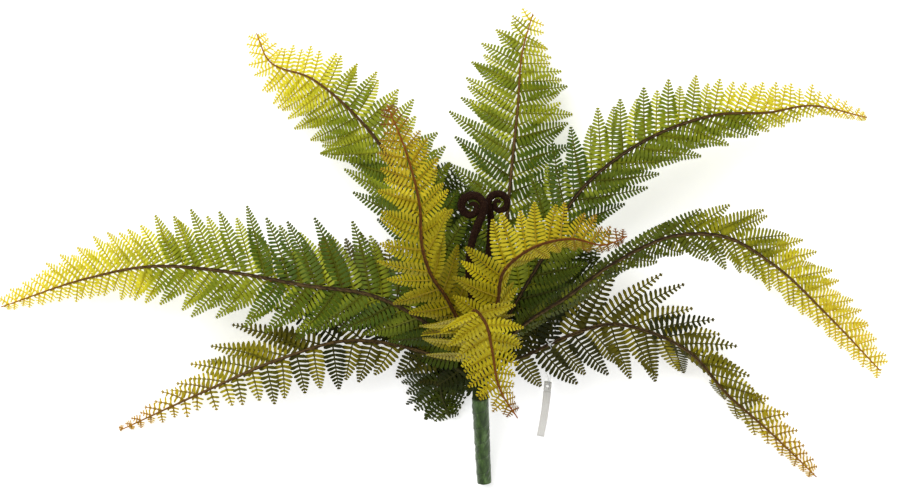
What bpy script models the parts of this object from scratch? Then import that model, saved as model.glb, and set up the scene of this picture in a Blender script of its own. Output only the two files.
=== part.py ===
"""An artificial fern bush, laid on its back on a flat surface. Metres, +Z up.

Wired fronds and two flocked fiddleheads are bound into one short taped stem, and a blank
hang tag on a nylon loop lies beside it. The stem points along -Y, the fronds fan out from
its top, and the origin is the middle of the bounding box's underside.
"""

import math
from collections import namedtuple

import bmesh
import bpy
import numpy as np

GAP = 0.0003  # clearance between pieces that touch

# Stem
STEM_TOP = (0.026, -0.127, 0.036)  # middle of its upper face
STEM_HEADING = math.radians(-3.0)  # its lean from the Y axis, seen from above
STEM_LENGTH = 0.081
TAPE_THICKNESS = 0.0006
STALK_RADIUS = 0.0011  # a frond's wired stalk at the stem
STALK_TIP_SHARE = 0.4  # its radius at the tip, as a share
STALK_LEAD = 0.012  # how far every stalk follows the stem's line
STEM_END_SHARE = 0.86  # the stem's radius at its cut end, as a share
SLEEVE_SIDES = 24

# Blades
RIB_THICKNESS = 0.0014
NOTCH_SHARE = 0.36  # how far out the gap between two pinnae starts
PINNA_SWEEP = math.radians(20.0)  # how far the pinnae lean to the tip
SURFACE_LIFT = 0.00005  # a pinna tip that lies on the surface
BASE_SHARE = 0.72  # the pinnae nearest the crown, as a share of the longest
BASE_GROWTH = 1.4
TIP_SHARE = 0.06
TIP_TAPER = 4
TIP_ROUND = 0.8

# Fiddleheads
COIL_TUBE_SHARE = 0.357  # the thickest tube's radius, as a share of its coil's
COIL_STEPS = 16  # in a turn
COILED_STALK_PITCH = 0.009
STALK_GROWTH = 1.6
# Turns wound: the coil's reach and its tube's radius there, as shares.
COIL = ((0.0, 1.0, 1.0), (0.5, 0.96, 0.97), (0.75, 0.75, 0.88), (1.0, 0.39, 0.68),
        (1.25, 0.30, 0.55), (1.5, 0.17, 0.42))

# Hang tag
TAG_LENGTH = 0.049
TAG_WIDTH = 0.0064
TAG_THICKNESS = 0.0006
TAG_HOLE_RADIUS = 0.0012
TAG_HOLE_INSET = 0.0045
TAG_TOP = (0.086, -0.114)
TAG_HEADING = math.radians(-8.0)
PUNCH_SIDES = 16
LOOP_RADIUS = 0.00045
LOOP_HALF_WIDTH = 0.0028
# One side of the loop: share of the way to the card, then shares over the stalk, along it and
# across the hole, and metres up.
LOOP_SIDE = (
    (0.0, 1.0, 0.0, 0.0, -0.0006),
    (0.0, 1.0, 0.35, 0.0, -0.0060),
    (0.5, 1.5, 1.0, 0.0, 0.0),
    (1.0, 0.0, 0.0, 0.7, 0.0060),
    (1.0, 0.0, 0.0, 0.35, 0.0),
)

SIDES_WIRE = 1  # bevel resolution: six sides
SIDES_COIL = 2  # eight sides
SIDES_CORE = 8  # twenty sides
CURVE_STEPS = 500

Frond = namedtuple(
    "Frond", "name slot bare pitch left right droops face_base face_tip look points"
)

Look = namedtuple("Look", "colour roughness")

DARK_GREEN = Look((0.045, 0.130, 0.022), 0.5)
GREEN = Look((0.130, 0.260, 0.040), 0.5)
YELLOW = Look((0.640, 0.500, 0.040), 0.5)
OLIVE = Look((0.090, 0.085, 0.020), 0.5)
STALK_BROWN = Look((0.120, 0.060, 0.030), 0.6)
FLOCK_BROWN = Look((0.045, 0.022, 0.016), 0.9)
CORE_GREEN = Look((0.100, 0.160, 0.080), 0.7)
TAPE_GREEN = Look((0.035, 0.110, 0.045), 0.55)
CARD_WHITE = Look((0.850, 0.850, 0.840), 0.5)
NYLON = Look((0.800, 0.800, 0.800), 0.2)
UP = (0.0, 0.0, 1.0)

# slot: ring and angle in the stem's bundle. left, right: longest pinna on each side, seen
# from the crown. droops: degrees that each side hangs below the blade's face.
FRONDS = (
    Frond("left_long_frond", (2, 150), 0.075, 0.017, 0.051, 0.057, (12, 7), UP, UP, GREEN,
          ((0.004, -0.087, 0.052), (-0.024, -0.059, 0.075), (-0.065, -0.038, 0.090),
           (-0.123, -0.029, 0.094), (-0.186, -0.018, 0.086), (-0.252, -0.013, 0.068),
           (-0.315, -0.024, 0.036), (-0.393, -0.049, 0.005))),
    Frond("lower_left_frond", (2, 180), 0.062, 0.0165, 0.046, 0.038, (22, 15), UP, UP, OLIVE,
          ((0.002, -0.099, 0.044), (-0.033, -0.084, 0.052), (-0.088, -0.077, 0.056),
           (-0.146, -0.093, 0.046), (-0.211, -0.121, 0.026), (-0.289, -0.157, 0.004))),
    Frond("upper_left_frond", (1, 180), 0.120, 0.0165, 0.049, 0.048, (26, 10), UP, UP, DARK_GREEN,
          ((0.015, -0.085, 0.046), (-0.009, -0.021, 0.058), (-0.039, 0.048, 0.074),
           (-0.056, 0.085, 0.076), (-0.084, 0.119, 0.072), (-0.119, 0.148, 0.056),
           (-0.157, 0.165, 0.036), (-0.168, 0.189, 0.026))),
    Frond("yellow_left_frond", (2, 120), 0.100, 0.013, 0.039, 0.034, (14, 30), UP, UP, YELLOW,
          ((0.016, -0.084, 0.070), (-0.002, -0.041, 0.110), (-0.017, -0.017, 0.140),
           (-0.023, 0.004, 0.156), (-0.025, 0.038, 0.166), (-0.034, 0.075, 0.166),
           (-0.052, 0.121, 0.150))),
    Frond("top_frond", (0, 0), 0.130, 0.0165, 0.052, 0.052, (12, 12), UP, UP, GREEN,
          ((0.030, -0.081, 0.048), (0.040, -0.033, 0.056), (0.048, 0.022, 0.060),
           (0.053, 0.073, 0.060), (0.058, 0.121, 0.052), (0.063, 0.174, 0.036),
           (0.072, 0.206, 0.028))),
    Frond("upper_right_frond", (1, 0), 0.110, 0.017, 0.055, 0.040, (8, 27), UP, UP, GREEN,
          ((0.034, -0.091, 0.044), (0.053, -0.051, 0.054), (0.083, 0.001, 0.068),
           (0.106, 0.045, 0.076), (0.159, 0.090, 0.082), (0.221, 0.116, 0.074),
           (0.293, 0.124, 0.052), (0.362, 0.116, 0.026))),
    Frond("right_arch_frond", (2, 30), 0.080, 0.016, 0.040, 0.040, (14, 24), UP, UP, DARK_GREEN,
          ((0.038, -0.090, 0.058), (0.065, -0.061, 0.082), (0.098, -0.039, 0.102),
           (0.138, -0.010, 0.112), (0.190, 0.013, 0.106), (0.232, 0.012, 0.092),
           (0.275, -0.011, 0.070), (0.325, -0.054, 0.036), (0.377, -0.105, 0.004))),
    Frond("lower_right_frond", (2, 0), 0.086, 0.016, 0.039, 0.049, (13, 24), UP, UP, OLIVE,
          ((0.036, -0.104, 0.042), (0.068, -0.089, 0.046), (0.102, -0.073, 0.050),
           (0.136, -0.063, 0.052), (0.173, -0.070, 0.052), (0.206, -0.087, 0.046),
           (0.239, -0.123, 0.034), (0.280, -0.159, 0.019), (0.321, -0.198, 0.004))),
    Frond("yellow_right_frond", (2, 60), 0.110, 0.013, 0.040, 0.028, (10, 56), UP, UP, YELLOW,
          ((0.031, -0.086, 0.086), (0.040, -0.041, 0.130), (0.045, -0.016, 0.150),
           (0.067, 0.002, 0.158), (0.100, 0.010, 0.154), (0.128, 0.005, 0.144),
           (0.147, 0.012, 0.136))),
    Frond("yellow_front_frond", (2, 90), 0.085, 0.013, 0.040, 0.042, (24, 16),
          (0.0, 1.0, -0.3), UP, YELLOW,
          ((0.022, -0.089, 0.090), (0.016, -0.059, 0.140), (0.021, -0.049, 0.166),
           (0.030, -0.061, 0.186), (0.034, -0.080, 0.196), (0.040, -0.111, 0.196),
           (0.055, -0.136, 0.184))),
    Frond("back_left_frond", (2, 240), 0.095, 0.0165, 0.040, 0.042, (4, 4), UP, UP, OLIVE,
          ((0.008, -0.096, 0.029), (-0.022, -0.061, 0.027), (-0.056, -0.037, 0.020),
           (-0.092, -0.029, 0.012), (-0.131, -0.025, 0.006), (-0.165, -0.027, 0.0036))),
    Frond("small_low_frond", (2, 210), 0.036, 0.012, 0.022, 0.030, (5, 20), UP, UP, DARK_GREEN,
          ((0.014, -0.106, 0.037), (0.002, -0.101, 0.036), (-0.007, -0.107, 0.030),
           (-0.008, -0.122, 0.020), (0.000, -0.146, 0.008))),
    Frond("back_top_frond", (2, 270), 0.060, 0.0165, 0.038, 0.036, (4, 4), UP, UP, GREEN,
          ((0.020, -0.086, 0.032), (0.009, -0.034, 0.026), (0.000, 0.010, 0.016),
           (-0.006, 0.045, 0.006), (-0.011, 0.075, 0.0036))),
    Frond("back_right_frond", (2, 300), 0.060, 0.0165, 0.036, 0.036, (4, 4), UP, UP, GREEN,
          ((0.036, -0.086, 0.034), (0.059, -0.050, 0.030), (0.084, -0.029, 0.020),
           (0.108, -0.015, 0.008), (0.130, -0.006, 0.0036))),
)

Fiddlehead = namedtuple("Fiddlehead", "name slot centre radius start turn points")

# start: angle of the stalk's way into the coil. turn: +1 winds anticlockwise from above.
FIDDLEHEADS = (
    Fiddlehead("left_fiddlehead", (1, 120), (0.0186, 0.0370, 0.120), 0.0098, -20.0, 1,
               ((0.024, -0.084, 0.070), (0.018, -0.041, 0.096), (0.0155, -0.014, 0.110),
                (0.0188, 0.009, 0.117), (0.0232, 0.0215, 0.120))),
    Fiddlehead("right_fiddlehead", (1, 60), (0.0406, 0.0400, 0.104), 0.0084, 200.0, -1,
               ((0.029, -0.085, 0.060), (0.030, -0.033, 0.086), (0.0315, -0.009, 0.096),
                (0.0338, 0.013, 0.102), (0.0345, 0.026, 0.104))),
)


def unit(vectors):
    """The same vectors, one metre long."""
    return vectors / np.linalg.norm(vectors, axis=-1, keepdims=True)


def even_route(points, pitch):
    """Points about a pitch apart on a smooth curve through the given ones."""
    points = np.array(points)
    knots = np.append(0.0, np.cumsum(np.linalg.norm(np.diff(points, axis=0), axis=1)))
    slopes = np.gradient(points, knots, axis=0)
    fine = np.linspace(0.0, knots[-1], CURVE_STEPS)
    cell = np.clip(np.searchsorted(knots, fine, side="right") - 1, 0, len(knots) - 2)
    span = np.diff(knots)[cell, None]
    t = (fine - knots[cell])[:, None] / span
    curve = (
        (1 + 2 * t) * (1 - t) ** 2 * points[cell]
        + t * (1 - t) ** 2 * span * slopes[cell]
        + t**2 * (3 - 2 * t) * points[cell + 1]
        + t**2 * (t - 1) * span * slopes[cell + 1]
    )
    travelled = np.append(0.0, np.cumsum(np.linalg.norm(np.diff(curve, axis=0), axis=1)))
    stops = np.linspace(0.0, travelled[-1], max(3, round(travelled[-1] / pitch)) + 1)
    return np.stack([np.interp(stops, travelled, curve[:, axis]) for axis in range(3)], axis=1)


# The stem's bundle: a middle stalk and two rings round it.
SLOT_PITCH = 2 * STALK_RADIUS + 2 * GAP
CORE_RADIUS = 2 * SLOT_PITCH + STALK_RADIUS - 0.5 * GAP
TAPE_RADIUS = CORE_RADIUS + GAP + TAPE_THICKNESS


def stem_axis():
    """The way from the cut end, which rests on the surface, to the stem's top."""
    end_radius = TAPE_RADIUS * STEM_END_SHARE
    reach = math.hypot(STEM_LENGTH, end_radius)
    tilt = math.asin(STEM_TOP[2] / reach) - math.atan2(end_radius, STEM_LENGTH)
    return np.array((
        math.sin(STEM_HEADING) * math.cos(tilt),
        math.cos(STEM_HEADING) * math.cos(tilt),
        math.sin(tilt),
    ))


def slot_start(slot, along):
    """A point over a slot of the bundle, so far along the stem's line from its top."""
    ring, angle = slot
    axis = stem_axis()
    right = unit(np.cross(axis, UP))
    front = np.cross(right, axis)
    turned = math.cos(math.radians(angle)) * right + math.sin(math.radians(angle)) * front
    return np.array(STEM_TOP) + along * axis + ring * SLOT_PITCH * turned


def stalk_route(slot, points):
    """The stalk's own points: straight out of its slot, then the chosen ones."""
    return [slot_start(slot, GAP), slot_start(slot, STALK_LEAD), *map(np.array, points)]


def add_object(name, data, look):
    """Link a mesh or curve as one named piece with a material of one colour."""
    material = bpy.data.materials.new(name)
    material.use_nodes = True
    shader = material.node_tree.nodes["Principled BSDF"]
    shader.inputs["Base Color"].default_value = (*look.colour, 1.0)
    shader.inputs["Roughness"].default_value = look.roughness
    data.materials.append(material)
    piece = bpy.data.objects.new(name, data)
    bpy.context.scene.collection.objects.link(piece)
    return piece


def tube(name, points, radii, sides, look, cyclic=False):
    """A round tube along the points, with a radius at each."""
    curve = bpy.data.curves.new(name, "CURVE")
    curve.dimensions = "3D"
    curve.bevel_depth = 1.0
    curve.bevel_resolution = sides
    curve.use_fill_caps = not cyclic
    spline = curve.splines.new("POLY")
    spline.points.add(len(points) - 1)
    spline.use_cyclic_u = cyclic
    for spot, point, radius in zip(spline.points, points, radii):
        spot.co = (*point, 1.0)
        spot.radius = radius
    return add_object(name, curve, look)


def closed_mesh(name, corners, triangles):
    """A mesh of the triangles with every face looking out."""
    shape = bmesh.new()
    spots = [shape.verts.new(corner) for corner in corners]
    for triangle in triangles:
        shape.faces.new([spots[index] for index in triangle])
    bmesh.ops.recalc_face_normals(shape, faces=shape.faces)
    mesh = bpy.data.meshes.new(name)
    shape.to_mesh(mesh)
    shape.free()
    return mesh


def envelope(share):
    """A pinna's length along its frond, as a share of the longest."""
    grown = min(1.0, BASE_SHARE + BASE_GROWTH * share)
    return grown * (1.0 - share**TIP_TAPER) ** TIP_ROUND + TIP_SHARE


def blade_frames(frond, spine):
    """Forward, left and face directions at each point of the spine."""
    forward = unit(np.gradient(spine, axis=0))
    share = np.linspace(0.0, 1.0, len(spine))[:, None]
    face = (1 - share) * np.array(frond.face_base) + share * np.array(frond.face_tip)
    face = unit(face - np.sum(face * forward, axis=1, keepdims=True) * forward)
    return forward, np.cross(face, forward), face


def between(values, place):
    """The value at a place between two of a row of values."""
    low = int(place)
    high = min(low + 1, len(values) - 1)
    return (1 + low - place) * values[low] + (place - low) * values[high]


def blade(plan, spine, bare_points):
    """The moulded blade: one toothed leaf under the stalk, a tooth for each pair of pinnae."""
    forward, left, face = blade_frames(plan, spine)
    spine = spine - (STALK_RADIUS + 2 * GAP) * face
    last = len(spine) - 1
    places = [(index + step, depth) for index in range(bare_points, last)
              for step, depth in ((0.0, 1.0), (0.5, NOTCH_SHARE))]
    sections = []
    for place, depth in [*places, (last, 1.0)]:
        share = (place - bare_points) / (last - bare_points)
        middle = between(spine, place)
        down = RIB_THICKNESS * between(face, place)
        edges = []
        for side, length, droop in zip((1, -1), (plan.left, plan.right), plan.droops):
            hang = math.radians(droop)
            out = side * math.cos(hang) * between(left, place) - math.sin(hang) * between(face, place)
            way = math.cos(PINNA_SWEEP) * out + math.sin(PINNA_SWEEP) * between(forward, place)
            edge = middle - down / 2 + depth * length * envelope(share) * way
            edge[2] = max(edge[2], SURFACE_LIFT)
            edges.append(edge)
        sections.append((middle, edges[0], middle - down, edges[1]))
    corners = [corner for section in sections for corner in section]
    triangles = [(0, 1, 2), (0, 2, 3)]
    end = len(corners) - 4
    triangles += [(end, end + 2, end + 1), (end, end + 3, end + 2)]
    for start in range(0, end, 4):
        top, left_edge, bottom, right_edge = range(start, start + 4)
        for ridge in (top, bottom):
            for edge in (left_edge, right_edge):
                triangles.append((ridge, ridge + 4, edge + 4))
                triangles.append((ridge, edge + 4, edge))
    name = plan.name + "_blade"
    add_object(name, closed_mesh(name, corners, triangles), plan.look)


def frond(plan):
    """One frond: its wired stalk and the blade that it carries."""
    spine = even_route(stalk_route(plan.slot, plan.points), plan.pitch)
    radii = STALK_RADIUS * np.linspace(1.0, STALK_TIP_SHARE, len(spine))
    tube(plan.name + "_stalk", spine, radii, SIDES_WIRE, STALK_BROWN)
    blade(plan, spine, max(1, round(plan.bare / plan.pitch)))


def fiddlehead(plan):
    """A young frond still rolled up: a stalk that thickens into a flat coil."""
    stalk = even_route(stalk_route(plan.slot, plan.points), COILED_STALK_PITCH)
    wound, reaches, swells = np.array(COIL).T
    turned = np.linspace(0.0, wound[-1], round(wound[-1] * COIL_STEPS) + 1)
    angles = math.radians(plan.start) + plan.turn * math.tau * turned
    reach = plan.radius * np.interp(turned, wound, reaches)
    coil = np.array(plan.centre) + np.stack(
        (reach * np.cos(angles), reach * np.sin(angles), np.zeros_like(angles)), axis=1
    )
    thickest = COIL_TUBE_SHARE * plan.radius
    grown = np.linspace(0.0, 1.0, len(stalk)) ** STALK_GROWTH
    radii = np.append(STALK_RADIUS + (thickest - STALK_RADIUS) * grown,
                      thickest * np.interp(turned, wound, swells))
    tube(plan.name, np.vstack((stalk, coil)), radii, SIDES_COIL, FLOCK_BROWN)


def stem():
    """The bundle's core and the tape wound round it."""
    axis = stem_axis()
    top = np.array(STEM_TOP)
    end = top - STEM_LENGTH * axis
    core_end = CORE_RADIUS * STEM_END_SHARE
    tube("stem_core", (end, top), (core_end, CORE_RADIUS), SIDES_CORE, CORE_GREEN)
    sleeve_bottom = end + GAP * axis
    sleeve_top = top - GAP * axis
    right = unit(np.cross(axis, UP))
    front = np.cross(right, axis)
    count = SLEEVE_SIDES
    corners = []
    for middle, share in ((sleeve_bottom, STEM_END_SHARE), (sleeve_top, 1.0)):
        for radius in (TAPE_RADIUS * share, CORE_RADIUS * share + GAP):
            for step in range(count):
                angle = math.tau * step / count
                turned = math.cos(angle) * right + math.sin(angle) * front
                corners.append(middle + radius * turned)
    loops = [range(count * loop, count * (loop + 1)) for loop in (0, 2, 3, 1)]
    triangles = []
    for here, there in zip(loops, loops[1:] + loops[:1]):
        for step in range(count):
            after = (step + 1) % count
            triangles.append((here[step], here[after], there[after]))
            triangles.append((here[step], there[after], there[step]))
    add_object("stem_tape", closed_mesh("stem_tape", corners, triangles), TAPE_GREEN)


def tag_frame():
    """The tag's way down and its way across, on the surface."""
    down = np.array((math.sin(TAG_HEADING), -math.cos(TAG_HEADING), 0.0))
    return down, np.array((-down[1], down[0], 0.0))


def hang_tag():
    """A plain card with a punched hole, flat on the surface."""
    down, across = tag_frame()
    top = np.array((*TAG_TOP, 0.0))
    corners = []
    for height in (0.0, TAG_THICKNESS):
        for along, beside in ((0.0, -0.5), (0.0, 0.5), (1.0, 0.5), (1.0, -0.5)):
            corner = top + along * TAG_LENGTH * down + beside * TAG_WIDTH * across
            corners.append(corner + np.array((0.0, 0.0, height)))
    triangles = [(0, 2, 1), (0, 3, 2), (4, 5, 6), (4, 6, 7)]
    for step in range(4):
        after = (step + 1) % 4
        triangles += [(step, after, after + 4), (step, after + 4, step + 4)]
    card = add_object("hang_tag", closed_mesh("hang_tag", corners, triangles), CARD_WHITE)
    bpy.ops.mesh.primitive_cylinder_add(
        vertices=PUNCH_SIDES,
        radius=TAG_HOLE_RADIUS,
        depth=10 * TAG_THICKNESS,
        location=tuple(top + TAG_HOLE_INSET * down),
    )
    punch = bpy.context.object
    punch.name = "tag_hole_punch"
    punch.hide_render = True
    punch.display_type = "WIRE"
    hole = card.modifiers.new("hole", "BOOLEAN")
    hole.operation = "DIFFERENCE"
    hole.object = punch


def tag_loop():
    """A nylon loop: through the tag's hole and over the lower right stalk."""
    down, across = tag_frame()
    plan = next(plan for plan in FRONDS if plan.name == "lower_right_frond")
    spine = even_route(stalk_route(plan.slot, plan.points), plan.pitch)
    bare_points = max(1, round(plan.bare / plan.pitch))
    hang = (spine[bare_points - 1] + spine[bare_points]) / 2
    stalk_way = unit(spine[bare_points] - spine[bare_points - 1])
    above_card = np.array((0.0, 0.0, TAG_THICKNESS + LOOP_RADIUS + GAP))
    hole = np.array((*TAG_TOP, 0.0)) + TAG_HOLE_INSET * down + above_card
    reach = (STALK_RADIUS + LOOP_RADIUS + 3 * GAP) * unit(np.cross(stalk_way, UP))
    route = [hang + (STALK_RADIUS + LOOP_RADIUS + 2 * GAP) * np.array(UP)]
    # Down one side of the stalk, in through the hole, and back up the other side.
    for turned, rows in ((-1, LOOP_SIDE), (1, LOOP_SIDE[::-1])):
        for share, over, along, beside, up in rows:
            shift = over * reach + along * LOOP_HALF_WIDTH * stalk_way
            shift = shift + beside * TAG_HOLE_RADIUS * across
            route.append((1 - share) * hang + share * hole + turned * shift + up * np.array(UP))
    tube("tag_loop", route, [LOOP_RADIUS] * len(route), SIDES_WIRE, NYLON, True)


def clear_scene():
    """Remove whatever the file starts with."""
    for thing in list(bpy.data.objects):
        bpy.data.objects.remove(thing)


def settle():
    """Shift every piece so that the origin is under the middle of the bounding box."""
    bpy.context.view_layer.update()
    graph = bpy.context.evaluated_depsgraph_get()
    corners = []
    pieces = [thing for thing in bpy.data.objects if not thing.hide_render]
    for piece in pieces:
        mesh = piece.evaluated_get(graph).to_mesh()
        corners += [tuple(vertex.co) for vertex in mesh.vertices]
        piece.evaluated_get(graph).to_mesh_clear()
    low = np.min(corners, axis=0)
    high = np.max(corners, axis=0)
    shift = (-(low[0] + high[0]) / 2, -(low[1] + high[1]) / 2, -low[2])
    for thing in bpy.data.objects:
        thing.location = [start + step for start, step in zip(thing.location, shift)]


def main():
    clear_scene()
    stem()
    for plan in FRONDS:
        frond(plan)
    for plan in FIDDLEHEADS:
        fiddlehead(plan)
    hang_tag()
    tag_loop()
    settle()


main()
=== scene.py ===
"""The looks of an artificial fern bush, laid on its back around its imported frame.

Every frond is a row of moulded pinnae, each one closed thin shell with a midrib and small
rounded lobes, on a powdery brown stalk. Two flocked fiddleheads, a tape-wound stem and a
blank hang tag on its nylon loop complete it. Metres, +Z away from the surface.
"""

import functools
import math
from collections import namedtuple

import bpy
import numpy as np
from bpy.props import FloatProperty, FloatVectorProperty, IntProperty, PointerProperty
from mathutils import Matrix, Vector


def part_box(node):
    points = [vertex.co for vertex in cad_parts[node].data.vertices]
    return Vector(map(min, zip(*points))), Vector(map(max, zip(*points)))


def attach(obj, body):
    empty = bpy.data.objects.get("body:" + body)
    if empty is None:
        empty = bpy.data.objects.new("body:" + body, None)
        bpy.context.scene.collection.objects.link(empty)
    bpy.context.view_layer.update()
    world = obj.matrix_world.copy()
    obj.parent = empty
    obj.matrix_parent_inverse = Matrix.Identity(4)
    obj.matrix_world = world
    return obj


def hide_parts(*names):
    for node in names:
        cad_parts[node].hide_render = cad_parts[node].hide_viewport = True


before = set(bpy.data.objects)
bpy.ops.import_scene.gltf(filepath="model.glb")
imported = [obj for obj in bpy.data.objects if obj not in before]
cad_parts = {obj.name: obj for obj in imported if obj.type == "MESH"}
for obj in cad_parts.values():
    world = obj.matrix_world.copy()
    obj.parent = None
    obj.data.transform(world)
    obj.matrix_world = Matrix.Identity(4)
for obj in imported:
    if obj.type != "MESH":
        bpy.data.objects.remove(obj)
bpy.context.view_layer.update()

bl_info = {
    "name": "Artificial fern bush",
    "version": (1, 0, 0),
    "blender": (4, 5, 0),
    "location": "View3D > Sidebar > Fern",
    "description": "Builds the leaves, fiddleheads, stem and tag of an artificial fern bush",
    "category": "Add Mesh",
}

UP = (0.0, 0.0, 1.0)
MILLIMETRE = 0.001
CURVE_STEPS = 500  # points on a frond's smooth route
SURFACE_GAP = 0.0001  # from the surface to the lowest corners
SHARP_ANGLE = math.radians(48.0)  # edges that turn more than this aren't shaded smooth

# The bush's own design sizes, which its frame was built from.
STEM_TOP = (0.026, -0.127, 0.036)
STEM_HEADING = math.radians(-3.0)
STEM_LENGTH = 0.081
STEM_END_SHARE = 0.86
STALK_RADIUS = 0.0011
STALK_LEAD = 0.012
SLOT_PITCH = 0.0028
CORE_RADIUS = 2 * SLOT_PITCH + STALK_RADIUS - 0.00015
TAPE_RADIUS = CORE_RADIUS + 0.0009
GAP = 0.0003
TAG_TOP = (0.086, -0.114)
TAG_HEADING = math.radians(-8.0)
TAG_LENGTH = 0.049
TAG_WIDTH = 0.0064
TAG_THICKNESS = 0.0006
TAG_HOLE_RADIUS = 0.0012
TAG_HOLE_INSET = 0.0045

Side = namedtuple("Side", "lengths droops sweeps bend lag", defaults=(0.0,))
Frond = namedtuple("Frond", "name finish slot bare pitch ripe left right face_base face_tip points")

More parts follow.
